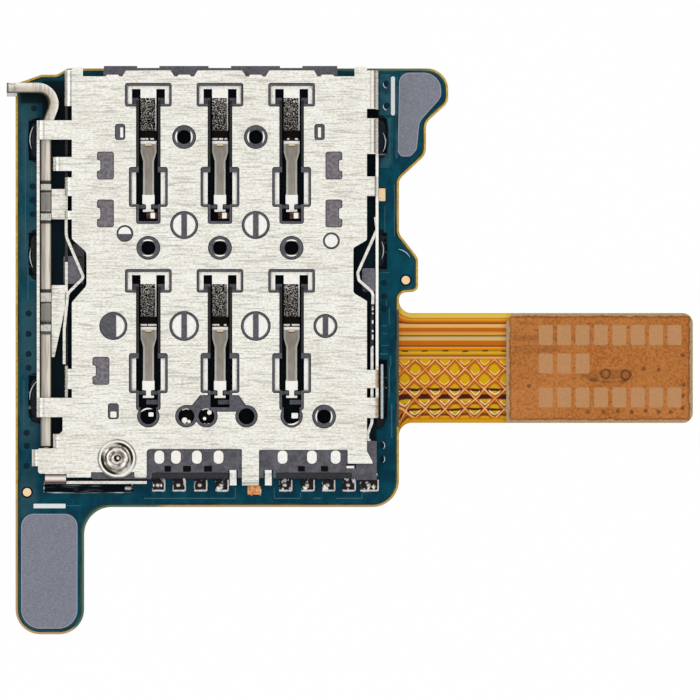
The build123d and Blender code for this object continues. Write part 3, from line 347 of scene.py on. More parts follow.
world = bpy.data.worlds.new("studio")
bpy.context.scene.world = world
world.use_nodes = True
sky = world.node_tree
sky.nodes.clear()
direction = add_node(sky, "ShaderNodeTexCoord", output="Generated")
upward = add_node(sky, "ShaderNodeSeparateXYZ", inputs={0: direction}, output=2)
glow = add_node(sky, "ShaderNodeValToRGB", {"stops": SKY_STOPS}, {0: upward})
light = add_node(sky, "ShaderNodeBackground", None, {"Color": glow, "Strength": 1.0})
seen = add_node(sky, "ShaderNodeBackground", None, {"Color": (1, 1, 1, 1), "Strength": 1.0})
chosen = add_node(sky, "ShaderNodeMixShader", None, {0: whiteness(sky, 0.2), 1: light, 2: seen})
world_output = sky.nodes.new("ShaderNodeOutputWorld")
sky.links.new(chosen.socket, world_output.inputs["Surface"])
print("sky stops:", len(SKY_STOPS))

# %% [markdown]
# ## Two lamps
# The sky alone gives no direction. A broad lamp from the left and a weaker one from the right make the
# gentle highlights of the photograph; small lamps would make hard white spots on the steel.

# %% Soft lamps left and right
def lamp(name, place, size, power):
    """A soft square lamp that faces the middle of the board."""
    data = bpy.data.lights.new(name, "AREA")
    data.shape = "SQUARE"
    data.size = size * MM
    data.energy = power
    made = bpy.data.objects.new(name, data)
    bpy.context.scene.collection.objects.link(made)
    made.location = Vector(place) * MM
    aim = Vector((centre[0], centre[1], 1.0)) - Vector(place)
    made.rotation_euler = aim.to_track_quat("-Z", "Y").to_euler()
    print(name, "stands at", place, "mm")


lamp("lamp_left", (-70, 25, 75), 50, 0.010)
lamp("lamp_right", (75, 30, 70), 40, 0.006)

# %% [markdown]
# ## The floor
# The part lies on white card, which shows only as a faint shadow. A lit floor would come out grey, so most
# of what the camera sees of it is a white emission, and the rest is a real surface that takes the shadow.

# %% A white floor that keeps a light shadow
FLOOR_HALF = 0.6
FLOOR_LEVEL = -0.02
WHITE_SHARE = 0.985
floor_mesh = bmesh.new()
bmesh.ops.create_grid(floor_mesh, x_segments=1, y_segments=1, size=FLOOR_HALF)
bmesh.ops.translate(floor_mesh, verts=floor_mesh.verts, vec=(0, 0, FLOOR_LEVEL * MM))
floor_data = bpy.data.meshes.new("floor")
floor_mesh.to_mesh(floor_data)
floor_mesh.free()
floor = bpy.data.objects.new("floor", floor_data)
bpy.context.scene.collection.objects.link(floor)
table = Finish("table", roughness=0.9, Base_Color=(0.84, 0.84, 0.84, 1))
white = table.node("ShaderNodeEmission", None, {"Color": (1, 1, 1, 1), "Strength": 1.0})
share = whiteness(table.tree, 0.4) * WHITE_SHARE
card = table.node("ShaderNodeMixShader", None, {0: share, 1: Flow(table.shader.outputs[0]), 2: white})
table.tree.links.new(card.socket, table.tree.nodes["Material Output"].inputs["Surface"])
floor_data.materials.append(table.material)
print("floor", 2 * FLOOR_HALF, "m wide")

# %% [markdown]
# ## Rolled metal
# The shell, the strips and the rod are cut from rolled or drawn metal, so all show fine lines along one
# direction, a slow change of tone and a few scratches. An image texture would need mapping; noise stretched
# along one axis gives the same lines at any size. One function makes them all, and only colour, direction
# and scale change.

# %% Brushed and satin metals
def metal(name, colour, shade, roughness, grain=(0.09, 1.0, 0.4), depth=0.0012, specks=0.35, fine=19.0):
    """Rolled strip: fine lines along one direction, a slow change of tone, and a few dull scratches."""
    finish = Finish(name, roughness=roughness, metallic=1.0)
    lines = finish.noise(fine, 0.0, grain)
    grit = finish.noise(17.0, 1.0, (0.55, 1, 1), 6.0)
    broad = finish.noise(0.9, 2.0, (0.5, 1.6, 1), 4.0)
    scratches = finish.step(finish.noise(fine * 1.1, 0.0, grain, 9.0), 0.63, 0.70)
    amount = finish.step(lines, 0.36, 0.54) * 0.34
    amount = amount + finish.step(grit, 0.34, 0.58) * 0.5 + finish.step(broad, 0.3, 0.7) * 0.16
    finish.tone = finish.blend(amount, shade, colour)
    finish.cover(scratches * specks, tuple(c * 0.5 for c in paint(*shade)[:3]) + (1,))
    finish.set("Base Color", finish.tone)
    finish.set("Roughness", (lines - 0.5) * 0.25 + roughness + scratches * 0.1)
    finish.bump(lines, depth)
    return finish


BRIGHT_TIN = ((254, 252, 247), (240, 236, 226), 0.26, (0.5, 0.3, 0.6), 0.0006, 0.08)
shell = metal("brushed_shell", (255, 254, 246), (211, 205, 191), 0.36, (0.085, 1.0, 0.4), 0.0012, 0.34, 16.0)
tin = metal("bright_tin", *BRIGHT_TIN)
dull_tin = metal("dull_tin", (226, 224, 220), (176, 174, 172), 0.34, (0.5, 0.3, 0.6), 0.0006, 0.2)
bracket = metal("bracket_tin", *BRIGHT_TIN)
spring = metal("spring_strip_metal", (250, 247, 240), (224, 218, 208), 0.25, (0.2, 0.2, 1.0), 0.0006, 0.15)
rod = metal("rod_satin", (240, 236, 230), (200, 193, 186), 0.32, (1, 0.05, 0.6), 0.0012, 0.4)
gold = metal("gold_flash", (246, 214, 130), (212, 172, 86), 0.3, (0.4, 1, 1))
shade_bronze = metal("bronze_in_shade", (104, 76, 56), (40, 28, 22), 0.35, (1, 1, 1), 0.002, 0.3)
copper = metal("bare_copper", (255, 226, 186), (240, 196, 146), 0.3, (1, 1, 1), 0.0012, 0.1)
copper_in_shade = metal("shaded_copper", (240, 176, 116), (178, 92, 44), 0.3, (1, 0.2, 1), 0.0012, 0.2, 9.0)
print("metals:", len((shell, tin, dull_tin, bracket, spring, rod, gold, shade_bronze, copper, copper_in_shade)))

# %% [markdown]
# ## The push rod
# The rod is pressed from thick strip, so its edges are rolled over: seen from above it is dark at one side,
# bright at the other, and its head turns round a bend. Bevelled edges in a mirror-like sky would give this
# only with the right lamps. Here that light and shade is painted instead: the distance across the strip
# runs along a colour ramp of painted highlight and shade, which holds in any light.

# %% How far a place lies across the strip at the rod's head
ROD_WIDE = 0.36
HOOK_TOP = 5.35
BEND = (-6.40, 4.65)
BEND_OUTER = 0.70
LEAN_START = (-5.69, 4.5)
LEAN_SLOPE, LEAN_COSINE = 0.413, 0.92
bent = rod.step(rod.x, BEND[0] - 0.01, BEND[0] + 0.01)
leaning = rod.step(rod.y, LEAN_START[1] + 0.02, LEAN_START[1] - 0.02)
in_hook = HOOK_TOP - rod.y
in_bend = BEND_OUTER - rod.radius(*BEND)
in_lean = (LEAN_START[0] - (LEAN_START[1] - rod.y) * LEAN_SLOPE - rod.x) * LEAN_COSINE
inward = (in_hook * (1 - bent) + in_bend * bent) * (1 - leaning) + in_lean * leaning
print("the rod's strip is", ROD_WIDE, "mm wide and turns at", BEND)

# %% Painted highlight and shade on the head of the rod
HEAD_SHADING_STOPS = [
    (0, 236, 229, 216), (0.12, 252, 244, 230), (0.36, 228, 220, 211), (0.6, 208, 200, 188),
    (0.82, 190, 180, 160), (0.91, 112, 102, 86), (1, 52, 44, 34),
]
streak = rod.step(rod.noise(7.0, 2.0, (0.3, 1.6, 1), 3.0), 0.54, 0.66)
near_tip = rod.step(rod.x, -7.1, -7.5)
head_shading = rod.layered(
    rod.ramp(HEAD_SHADING_STOPS, inward / ROD_WIDE),
    (streak * (near_tip * 0.6 + 0.16), (70, 64, 56)),
    (rod.step(rod.x, -7.47, -7.53) * 0.8, (74, 70, 66)),
    (rod.step(rod.y, 5.0, 4.98) * rod.step(rod.x, -7.1, -7.2), (200, 198, 200)),
)
print("head shaded in", len(HEAD_SHADING_STOPS), "stops")

# %% Painted highlight and shade across the shaft of the rod
ROD_MIDDLE = -6.18
SHAFT_SHADING_STOPS = [
    (0, 170, 160, 150), (0.03, 66, 56, 46), (0.09, 150, 141, 131), (0.16, 180, 170, 160),
    (0.42, 190, 180, 171), (0.54, 218, 210, 198), (0.84, 230, 224, 208), (0.91, 196, 186, 166),
    (0.97, 84, 76, 62), (1, 170, 160, 150),
]
across_shaft = (rod.x - ROD_MIDDLE + ROD_WIDE / 2) / ROD_WIDE
drawn_lines = rod.step(rod.noise(13.0, 1.0, (1, 0.05, 0.6), 1.0), 0.50, 0.64)
shaft_shading = rod.layered(rod.ramp(SHAFT_SHADING_STOPS, across_shaft), (drawn_lines * 0.35, (150, 140, 132)))
in_head = rod.step(rod.y, 3.95, 4.05)
rod.cover(rod.band(rod.x, ROD_MIDDLE - 0.19, ROD_MIDDLE + 0.19, 0.003) * (1 - in_head), shaft_shading)
rod.cover(in_head, head_shading)
print("shaft shaded about x", ROD_MIDDLE)

# %% Painted shade and highlight across the rod's joggles: dark bands on the steps, bright lit slopes
ROD_SHADE_BANDS = [
    (181, 184, 40), (190, 192.5, 60), (193, 210.5, 128), (211, 213, 50), (220.5, 223, 60), (289, 292.5, 46),
    (302, 303.5, 56), (304, 321, 126), (321.5, 324, 48), (331.5, 335, 110),
]
ROD_LIT_SLOPES = [(184, 190), (213.4, 220), (293, 301.6), (324.8, 331)]
# Painted shade on the steps of the joggles.
for first_row, last_row, level in ROD_SHADE_BANDS:
    rod.cover(rod.rows(first_row, last_row, 0.012) * 0.85, (level, level - 3, level - 7))
# Painted highlight: the lit slopes get a pale colour and lose most of their metallic look, so they read
# bright.
slopes = 0
for first_row, last_row in ROD_LIT_SLOPES:
    slopes = rod.rows(first_row, last_row, 0.012) + slopes
rod.cover(slopes, (255, 253, 246))
rod.cover(rod.step(rod.noise(15.0, 1.0, (1.0, 0.05, 1.0), 4.0), 0.50, 0.66) * 0.30, (96, 88, 80))
rod.set("Base Color", rod.tone)
rod.set("Metallic", 1 - slopes * 0.95)
print("rod bands:", len(ROD_SHADE_BANDS), "dark,", len(ROD_LIT_SLOPES), "bright")

# %% [markdown]
# ## Marks on the shell
# The plate isn't quite flat: it is stamped down in a ring round the rivet, and its corner by the rear
# fillet is rolled. These steps are hundredths of a millimetre, too small to model, but they catch the
# light. Rings and a ramp in the shell's colours paint that light and shade where it belongs: painted shade
# and a painted highlight round the rivet, and a painted highlight between dark edges across the rolled
# corner. The dark rings are strong on two sides only, where the light falls across a real one.

# %% Painted highlight and shade on the stamped ring and the rolled corner
PIVOT = (-3.65, -7.98)
from_pivot = shell.radius(*PIVOT)
side = (shell.x - PIVOT[0]) * 0.8 + (shell.y - PIVOT[1]) * 0.6
lit_part = shell.step(abs(side), 0.15, 0.42)
# The well and the outline are painted shade, strongest on two sides; the band between them is a painted
# highlight.
well = shell.band(from_pivot, 0.470, 0.575, 0.012) * (lit_part * 0.8 + 0.2)
outline = shell.band(from_pivot, 0.645, 0.69, 0.012) * (lit_part * 0.5 + 0.25)
shell.cover((well + outline).clamped(), (44, 38, 34))
shell.cover(shell.band(from_pivot, 0.585, 0.625, 0.012) * 0.7, (255, 255, 252))
CORNER_ROWS = (474, 483.5)
CORNER_SHADING_STOPS = [
    (0, 60, 46, 40), (0.16, 150, 116, 100), (0.3, 214, 196, 184), (0.52, 255, 252, 248),
    (0.74, 206, 184, 172), (0.9, 84, 70, 64), (1, 40, 34, 32),
]
corner_high, corner_low = (spot(0, row)[1] for row in CORNER_ROWS)
rise = (shell.y - corner_low) / (corner_high - corner_low)
shell.cover(shell.patch(44, 66.5, *CORNER_ROWS, 0.008), shell.ramp(CORNER_SHADING_STOPS, rise))
print("rings round", PIVOT, "and a corner", round(corner_high - corner_low, 2), "mm deep")

# %% [markdown]
# ## Folds, wall tops and the shaded sill
# Where the sheet folds down into a wall, light and shade show as a bright line and a dark one, painted here
# as highlight and shade. The small reliefs cut at the ends of each fold are painted dark as shade, and the
# top of the right wall is painted bright as a highlight. Below the leaf on the left the inner faces lie in
# deep shade, painted near black. The marks are a table of pixel boxes with an amount and a colour, which is
# easy to extend, and each table counts only at its own height on the sheet.

# %% Painted highlights and shade on the folds and the wall tops, and painted shade on the sill
FOLD_LIGHT_AND_SHADE = [
    (369.9, 371.3, 70, 108, 0.45, (160, 150, 138)), (373.8, 375.6, 70, 108, 0.85, (106, 98, 90)),
    (369.9, 371.3, 119, 153, 0.45, (160, 150, 138)), (373.8, 375.6, 119, 153, 0.85, (106, 98, 90)),
    (371.4, 373.6, 70, 153, 0.5, (255, 240, 226)), (374.4, 376, 176, 196, 0.7, (120, 104, 92)),
    (70.2, 71.6, 71, 106, 0.6, (112, 100, 92)), (67.2, 69.8, 71, 106, 0.5, (255, 255, 252)),
    (64.4, 66.4, 71, 106, 0.5, (150, 138, 128)), (43.2, 44.6, 121, 139.6, 0.5, (140, 124, 108)),
    (43.2, 44.6, 398, 417.5, 0.4, (160, 146, 132)), (59, 60.2, 157, 170.5, 0.5, (160, 150, 140)),
    (65, 68.6, 178, 196, 0.35, (190, 182, 196)), (374.6, 379.5, 109, 118.4, 1.0, (14, 13, 14)),
    (374.6, 377, 154, 175.6, 1.0, (14, 13, 14)),
]
WALL_TOP_LIGHT_AND_SHADE = [(376.1, 379.4, 158, 366, 0.8, (255, 254, 248)), (374.6, 379.5, 109.3, 118.4, 1.0, (14, 13, 14))]
FOLD_LEVELS, WALL_LEVELS, SILL_LEVELS = (1.70, 1.75), (1.64, 1.69), (0.895, 0.87)
for marks, levels in ((FOLD_LIGHT_AND_SHADE, FOLD_LEVELS), (WALL_TOP_LIGHT_AND_SHADE, WALL_LEVELS)):
    high_enough = shell.step(shell.z, *levels)
    for *corners, amount, shade in marks:
        shell.cover(shell.patch(*corners, 0.014) * high_enough * amount, shade)
# The sill below the leaf is painted near black as shade.
sill = (shell.patch(62, 69.8, 105, 262) + shell.patch(62, 69.8, 304, 366)) * shell.step(shell.z, *SILL_LEVELS)
shell.cover(sill * 0.94, (16, 16, 18))
print("marks on the folds:", len(FOLD_LIGHT_AND_SHADE), "and on the wall tops:", len(WALL_TOP_LIGHT_AND_SHADE))

# %% [markdown]
# ## The root of the switch's strip
# The strip on the right wall senses the tray. Its anchored end stands on edge between the wall and the
# moulding, so it is nearly black with a few glints. Real shade would need light that gets lost between the
# walls, which takes many bounces; a dark patch in the strip's colour, with stretched noise for the glints,
# is sure and quick.

# %% Shade the strip's root
ROOT_ROWS = (304, 369)
broken = spring.step(spring.noise(9.0, 0.0, (0.1, 1.0, 0.1)), 0.50, 0.56)
strip_glints = (spring.columns(372.0, 373.4, 0.012) * broken).larger(
    spring.step(spring.y, spot(0, 346)[1], spot(0, 348)[1]) * 0.75
)
root_tone = spring.blend(strip_glints, (34, 32, 32), (250, 248, 244))
spring.cover(spring.patch(367, 378, *ROOT_ROWS, 0.02) * 0.96, root_tone)
spring.set("Base Color", spring.tone)
print("strip root shaded over", round((ROOT_ROWS[1] - ROOT_ROWS[0]) / PIXELS_PER_MM, 2), "mm")

# %% [markdown]
# ## The solder line
# When the board was soldered, molten solder crept a little way up every foot and tail, and left them dark
# and glassy; their bright streaks are painted highlights. Separate pieces for it would be thinner than the
# sheet, so the change is part of the finish: it starts below one height on each strip.

# %% Solder that has crept up the feet and tails
WETTED_TO = board_top + 0.115


def wetted(finish, dark, bright, stretch, low_cut, high_cut):
    """Below the solder line a strip is dark and glassy, with bright streaks painted in as highlights."""
    below = finish.step(finish.z, WETTED_TO, WETTED_TO - 0.01)
    streak_highlights = finish.step(finish.noise(6.0, 2.0, stretch, 5.0), low_cut, high_cut)
    finish.cover(below, finish.blend(streak_highlights, dark, bright))
    finish.set("Base Color", finish.tone)


wetted(shell, (10, 18, 24), (120, 128, 134), (0.12, 1.2, 1), 0.58, 0.76)
wetted(tin, (40, 35, 36), (244, 240, 238), (1.0, 0.6, 1), 0.56, 0.70)
print("solder line at", round(WETTED_TO, 3), "mm")

# %% [markdown]
# ## The contact blades
# Each blade is a sprung strip that climbs a coarse slope, bends over a crest and ends in a level tip with a
# small dimple. Each part meets the light at its own tilt, so from above it reads as a dark slope, a bright
# crest, a grey blade and a bright tip; that light and shade is painted into the colour along the blade. The
# six blades are alike and evenly spaced, so the pattern wraps at their pitch and one material serves them
# all.

# %% One pattern for all six blades
COLUMN_PITCH = 2.54
ROW_PITCH = 6.60
ROW_TOP = 5.34
blade = Finish("contact_blade", roughness=0.34, metallic=1.0)
along = (ROW_TOP - blade.y).wrapped(ROW_PITCH)
across = blade.x.wrapped(COLUMN_PITCH / 2, -COLUMN_PITCH / 2)
grit = blade.noise(26.0, 2.0)
rolled = blade.noise(14.0, 2.0, (1.0, 0.12, 1))
# The slope: speckled grit, with a painted highlight along one side.
slope = blade.layered(
    blade.blend(blade.step(grit, 0.50, 0.60), (18, 16, 15), (214, 208, 200)),
    (blade.step(across, 0.235, 0.25), (252, 250, 246)),
)
grey = blade.blend(rolled, (168, 160, 150), (138, 131, 122))
crest_highlight_dots = blade.band(along, 1.95, 2.01, 0.012) * blade.step(blade.noise(9.0, 0.0, (1, 0.2, 1)), 0.46, 0.52)
half_width = 0.262 - blade.step(along, 2.45, 2.78) * 0.085
rim = blade.step(abs(across) - half_width, -0.065, -0.03) * blade.step(along, 2.12, 2.2)
dimple = blade.band(across, -0.105, 0.105, 0.015) * blade.band(along, 2.12, 2.22, 0.015)
dimple_foot = blade.band(across, -0.11, 0.11, 0.015) * blade.band(along, 2.235, 2.265, 0.012)
print("blade pattern repeats every", COLUMN_PITCH, "by", ROW_PITCH, "mm")

# %% Paint the blade's light and shade from its root to its tip
# Coats: painted shade where the slope steepens; painted highlights on the crest dots, the crest, the rim and
# the tip; the grey of the level blade; the dimple with a dark band below it.
blade.tone = blade.layered(
    slope,
    (blade.step(along, 1.68, 1.70), (34, 30, 28)),
    (crest_highlight_dots, (246, 243, 236)),
    (blade.step(along, 2.045, 2.06), (255, 254, 252)),
    (blade.step(along, 2.13, 2.18), grey),
    (rim * 0.45, (226, 222, 214)),
    (dimple, (240, 216, 178)),
    (dimple_foot * 0.85, (90, 66, 40)),
    (blade.step(along, 3.96, 3.98), (252, 250, 244)),
)
smooth_part = blade.step(along, 1.60, 1.75)
blade.set("Base Color", blade.tone)
blade.set("Roughness", smooth_part * -0.14 + 0.5 + (rolled - 0.5) * 0.2)
blade.bump(grit * (1 - smooth_part), 0.02)
print("the blade narrows to", round(2 * (0.262 - 0.085), 3), "mm")

# %% [markdown]
# ## Moulded plastic
# The moulding that carries the contacts, and the plug below the tail, are nylon filled with glass: a dull
# skin with a fine pebble and a few pale fibres. Sculpted relief would cost many faces, and at this size a
# Bump node can't be told from it. One noise drives colour, roughness and relief together, because on real
# plastic the three change as one.

# %% Plastics
def moulded(name, colour, shade, roughness, level=0.35):
    """Glass-filled moulding: a fine pebbled skin with small pale fibres."""
    finish = Finish(name, roughness=roughness, Specular_IOR_Level=level)
    pebble = finish.noise(11.0, 4.0)
    cloud = finish.noise(1.6, 3.0, shift=3.0)
    fibre = finish.step(finish.noise(9.0, 1.0, (0.35, 2.0, 1), 6.0), 0.68, 0.76)
    mottle = finish.step(pebble, 0.32, 0.68) * 0.65 + finish.step(cloud, 0.3, 0.7) * 0.35
    finish.tone = finish.blend(mottle, shade, colour)
    finish.cover(fibre * 0.3, tuple(min(1.0, c * 1.9 + 0.01) for c in paint(*colour)[:3]) + (1,))
    finish.surface(finish.tone, pebble, 0.3, roughness - 0.15, 0.006)
    return finish


moulding = moulded("dark_moulding", (106, 105, 114), (70, 69, 77), 0.5)
plug_body = moulded("black_plug", (52, 50, 50), (36, 34, 34), 0.45)
# The last four stand for light and shade rather than plastics of their own: a near-black one is painted shade
# in recesses, two are the moulding in shade and in light, and a pale one is the painted highlight on the bare
# pads' edges.
recess_shade = moulded("deep_recess", (16, 15, 17), (6, 6, 7), 0.8, 0.1)
shadow_moulding = moulded("moulding_in_shade", (44, 43, 48), (20, 20, 23), 0.3)
lit_moulding = moulded("moulding_in_light", (150, 148, 160), (112, 110, 122), 0.5)
pad_edge_highlight = moulded("pad_edge", (176, 175, 188), (158, 157, 170), 0.5)
print("plastics:", len((moulding, plug_body, recess_shade, shadow_moulding, lit_moulding, pad_edge_highlight)))

# %% [markdown]
# ## Light and shade on the moulding
# The moulding's surface isn't evenly lit: beside the blades it drops into deep slots, whose shade is painted
# near black, and in two patches between them it is painted paler as light; along the back edge it is
# coarse. The slots are as regular as the blades, so the same wrapped distances find them.

# %% Slots, pale patches and the rear strip
row_along = (ROW_TOP - moulding.y).wrapped(ROW_PITCH)
beside_blade = moulding.step(abs(moulding.x.wrapped(COLUMN_PITCH / 2, -COLUMN_PITCH / 2)), 0.445, 0.425)
in_field = moulding.step(moulding.y, -6.4, -6.3) * moulding.step(moulding.y, 5.6, 5.5)
slot_shade = beside_blade * moulding.band(row_along, 0.62, 2.98, 0.02) * in_field
pale_columns = moulding.columns(92, 117) + moulding.columns(326, 347)
pale_rows = moulding.rows(146, 232) + moulding.rows(352, 390)
clouds = moulding.step(moulding.noise(9.0, 2.0, shift=8.0), 0.3, 0.7)
coarse = moulding.step(moulding.noise(4.2, 3.0, shift=3.0), 0.34, 0.66)
# Painted light on two pale patches; painted shade in the slots below.
moulding.cover(pale_columns * pale_rows, moulding.blend(clouds, (104, 98, 104), (142, 137, 144)))
rear_strip = moulding.step(moulding.y, -7.62, -7.70)
moulding.cover(rear_strip * 0.42, moulding.blend(coarse, (62, 62, 70), (118, 118, 126)))
moulding.cover(slot_shade * 0.9, (14, 13, 15))
moulding.set("Base Color", moulding.tone)
print("slots follow the blades' pitch of", COLUMN_PITCH, "mm")

# %% [markdown]
# ## Solder mask
# The petrol blue skin on the board is a lacquer over woven glass, so its colour wanders a little and it
# dulls where flux has dried. Under the shell hardly any light reaches it. Real shade would be nearly right
# there, but the photograph's is deeper, so a soft dark box helps it, on the upper face only.

# %% The petrol lacquer
mask = Finish("solder_mask", roughness=0.24, Specular_IOR_Level=0.06)
weave = mask.noise(2.2, 3.0, (1.4, 1.0, 1))
drift = mask.noise(0.45, 2.0, shift=2.0)
dried_flux = mask.band(mask.x, -7.1, -6.5, 0.12) * mask.step(drift, 0.35, 0.6)
upper_face = mask.step(mask.z, board_top - 0.2, board_top - 0.1)
# Painted shadow: under the shell, and under and beside the rod's hook, on the upper face only.
painted_shell_shadow = mask.box(-6.32, 5.55, -8.5, 5.45, 0.06) * upper_face
painted_hook_shadow = mask.patch(20, 47, 92, 103, 0.05).larger(mask.patch(44, 64, 96, 118, 0.12)) * upper_face
mask.tone = mask.layered(
    mask.blend(mask.step(weave, 0.35, 0.7), (0, 62, 82), (2, 82, 102)),
    (mask.step(drift, 0.45, 0.75) * 0.5, (2, 92, 108)),
    (dried_flux * 0.45, (70, 104, 110)),
    (painted_shell_shadow * 0.8, (4, 10, 13)),
    (painted_hook_shadow * 0.85, (4, 14, 18)),
)
mask.surface(mask.tone, weave, 0.2, 0.2, 0.008)
print("lacquer is darkened above", round(board_top - 0.2, 3), "mm")

# %% [markdown]
# ## Laminate
# Where the lacquer stops, the bare board shows as an amber rim, tan on the leg and green in places where a
# trace of lacquer was left. Its cut edge shows layers of glass. A noise squeezed three times in height
# gives those layers on the walls, and the greens are soft boxes that count on the top skin only, so the
# walls keep their amber.

# %% Amber laminate with green rims
laminate = Finish("laminate_edge", roughness=0.5, Specular_IOR_Level=0.4)
layers = laminate.noise(8.0, 3.0, (1, 1, 3))
top_skin = laminate.step(laminate.z, board_top - 0.05, board_top - 0.02)
mouth_rim = laminate.box(4.05, 4.95, 5.0, 6.2, 0.12).larger(laminate.box(4.6, 7.5, 5.3, 6.2, 0.4) * 0.95)
leg_rim = laminate.box(-5.2, -4.4, -14.3, -9.6, 0.1)
rear_rim = laminate.box(-4.9, -2.1, -9.9, -9.3, 0.3)
beside_tail = laminate.box(6.1, 6.6, -6.86, -2.70, 0.04)
laminate.tone = laminate.layered(
    laminate.blend(laminate.step(layers, 0.35, 0.65), (200, 160, 58), (226, 190, 90)),
    (laminate.step(laminate.y, -9.3, -9.5), (200, 168, 112)),
    (beside_tail * top_skin * 0.85, (22, 44, 54)),
    ((mouth_rim + leg_rim + rear_rim).clamped() * top_skin * 0.92, (40, 112, 92)),
)
laminate.surface(laminate.tone, layers, 0.2, 0.4, 0.01)
print("laminate ready; its top skin starts at", round(board_top - 0.05, 3), "mm")

# %% [markdown]
# ## The tail's printed copper
# The amber film shows straight copper lines along its front half and a diamond lattice behind. Both could
# be drawn as an image, but they repeat, so arithmetic draws them sharply at any size: a colour ramp across
# the width for the lines, and a wrapped diagonal grid for the lattice. The lines spread a little where they
# leave the board.

# %% Straight lines across the front half
film = Finish("amber_film", roughness=0.3, Specular_IOR_Level=0.12)
FIRST_ROW, LAST_ROW = 313, 360
SPAN = LAST_ROW - FIRST_ROW
LINE_STOPS = [
    (313, 214, 182, 82), (315, 232, 206, 112), (317.5, 236, 200, 116), (318.6, 196, 118, 40),
    (319.6, 240, 186, 112), (320.8, 222, 138, 40), (322, 208, 108, 20), (323.4, 92, 34, 4),
    (324.6, 240, 196, 138), (327.2, 236, 188, 122), (328.4, 196, 100, 18), (331, 198, 104, 22),
    (332.6, 226, 168, 112), (334.4, 232, 178, 104), (335.8, 104, 46, 6), (337, 212, 184, 130),
    (339.6, 224, 196, 136), (341.4, 198, 106, 14), (345, 206, 104, 10), (346.2, 58, 20, 6),
    (347.2, 240, 176, 110), (348.8, 240, 150, 50), (350.2, 176, 112, 24), (352.6, 232, 190, 96),
    (355, 196, 126, 24), (356, 120, 52, 12), (357.4, 242, 196, 140), (359.6, 206, 136, 30),
]
flare = ((spot(416, 0)[0] - film.x) * (PIXELS_PER_MM / 18)).larger(0).smaller(1)
flare = flare * flare * 12.5
depth_in = (spot(0, FIRST_ROW)[1] - film.y) * (PIXELS_PER_MM / SPAN)
depth_in = depth_in + flare * (0.5 - depth_in * 1.96).larger(0).smaller(1) / SPAN
lines = film.ramp([((row - FIRST_ROW) / SPAN, *shade) for row, *shade in LINE_STOPS], depth_in)
print("tail print:", len(LINE_STOPS), "stops across", round(SPAN / PIXELS_PER_MM, 2), "mm")

# %% The diamond cells of the rear half
CELL = 20
waver_u = (film.noise(1.7, 1.0, shift=5.0) - 0.5) * 3.4
waver_v = (film.noise(2.1, 1.0, shift=2.5) - 0.5) * 2.6
u = film.x * PIXELS_PER_MM + (ORIGIN_PIXEL[0] - 405) + waver_u
v = film.y * -PIXELS_PER_MM + (ORIGIN_PIXEL[1] - 369) + waver_v
v = v - flare * ((v - 28) / 24).larger(0).smaller(1)
p = ((u + v) / CELL).fraction() - 0.5
q = ((u - v) / CELL).fraction() - 0.5
reach = abs(p).larger(abs(q)) * 2
lower = p - q
round_reach = (p * p + q * q).root() + reach * 0.5
# The pale ring along the lower edge of each cell is a painted highlight.
lower_highlight = film.band(round_reach, 0.60, 0.76, 0.05) * film.step(lower, 0.0, 0.25)
faded = film.noise(2.6, 1.0, shift=8.0)
strokes = film.step(reach, 0.88, 0.95) * (film.step(faded, 0.36, 0.56) * 0.5 + 0.5)
print("lattice cells are", round(CELL / PIXELS_PER_MM, 2), "mm wide")

# %% Rows of dark cells, and the lattice's colours
dark_rows = film.band(v, 19.4, 22.2, 0.5) + film.band(v, 25.0, 30.2, 0.5) * film.step(lower, 0.3, -0.1)
dark_rows = dark_rows + film.band(v, 33.5, 35.6, 0.5) * 0.6 + film.band(v, 39.2, 41.6, 0.5)
dark_rows = dark_rows + film.band(v, 44.2, 47.0, 0.5) * 0.8
lattice = film.layered(
    film.blend(film.noise(1.4, 2.0), (190, 98, 8), (208, 120, 20)),
    (film.step(round_reach, 0.66, 0.56), (218, 170, 16)),
    (lower_highlight * 0.95, (255, 222, 142)),
    (film.band(reach, 0.78, 0.87, 0.04) * 0.7, (146, 64, 4)),
    (strokes, (250, 200, 150)),
    (dark_rows.clamped() * film.step(reach, 0.84, 0.76), (74, 18, 4)),
    (lower_highlight * film.step(v, 17, 20) * 0.85, (255, 236, 190)),
    (film.step(v, 48.0, 50.5), film.blend(film.step(v, 49.5, 51.5), (206, 122, 24), (216, 162, 18))),
)
print("lattice drawn in 7 coats")

# %% Join the halves, and dull the film inside the board
dashes = film.band(v, -18.6, -17.2, 0.4) * film.band((u + 6).wrapped(CELL), 3, 9, 0.6)
past_sides = film.step(film.y, -2.2, -2.1).larger(film.step(film.y, -7.3, -7.4))
in_board = film.step(film.x, 6.22, 6.12).larger(past_sides)
printed = film.layered(
    lines,
    (film.step(v, -10.5, -8.5), lattice),
    (dashes * 0.9, (66, 22, 6)),
    (in_board, film.blend(film.noise(6.0, 2.0), (120, 78, 24), (150, 104, 40))),
)
richer = {"Color": printed, "Saturation": 1.12, "Value": 1.12}
film.set("Base Color", film.node("ShaderNodeHueSaturation", None, richer))
film.set("Roughness", film.noise(3.0, 2.0) * 0.15 + 0.2)
film.bump(film.node("ShaderNodeRGBToBW", None, {0: printed}), 0.02, 0.5)
print("film ready, inside the board below x", 6.2, "mm")

# %% [markdown]
# ## The stiffened end
# Behind the plug the film is backed with a stiff orange sheet, mottled like paper, with a ragged pale edge
# where it was punched, faint streaks, and small marks of copper that shows through. Layers of noise at
# three scales give the paper; the marks stand in a list of places, because no noise would put them where
# they belong.

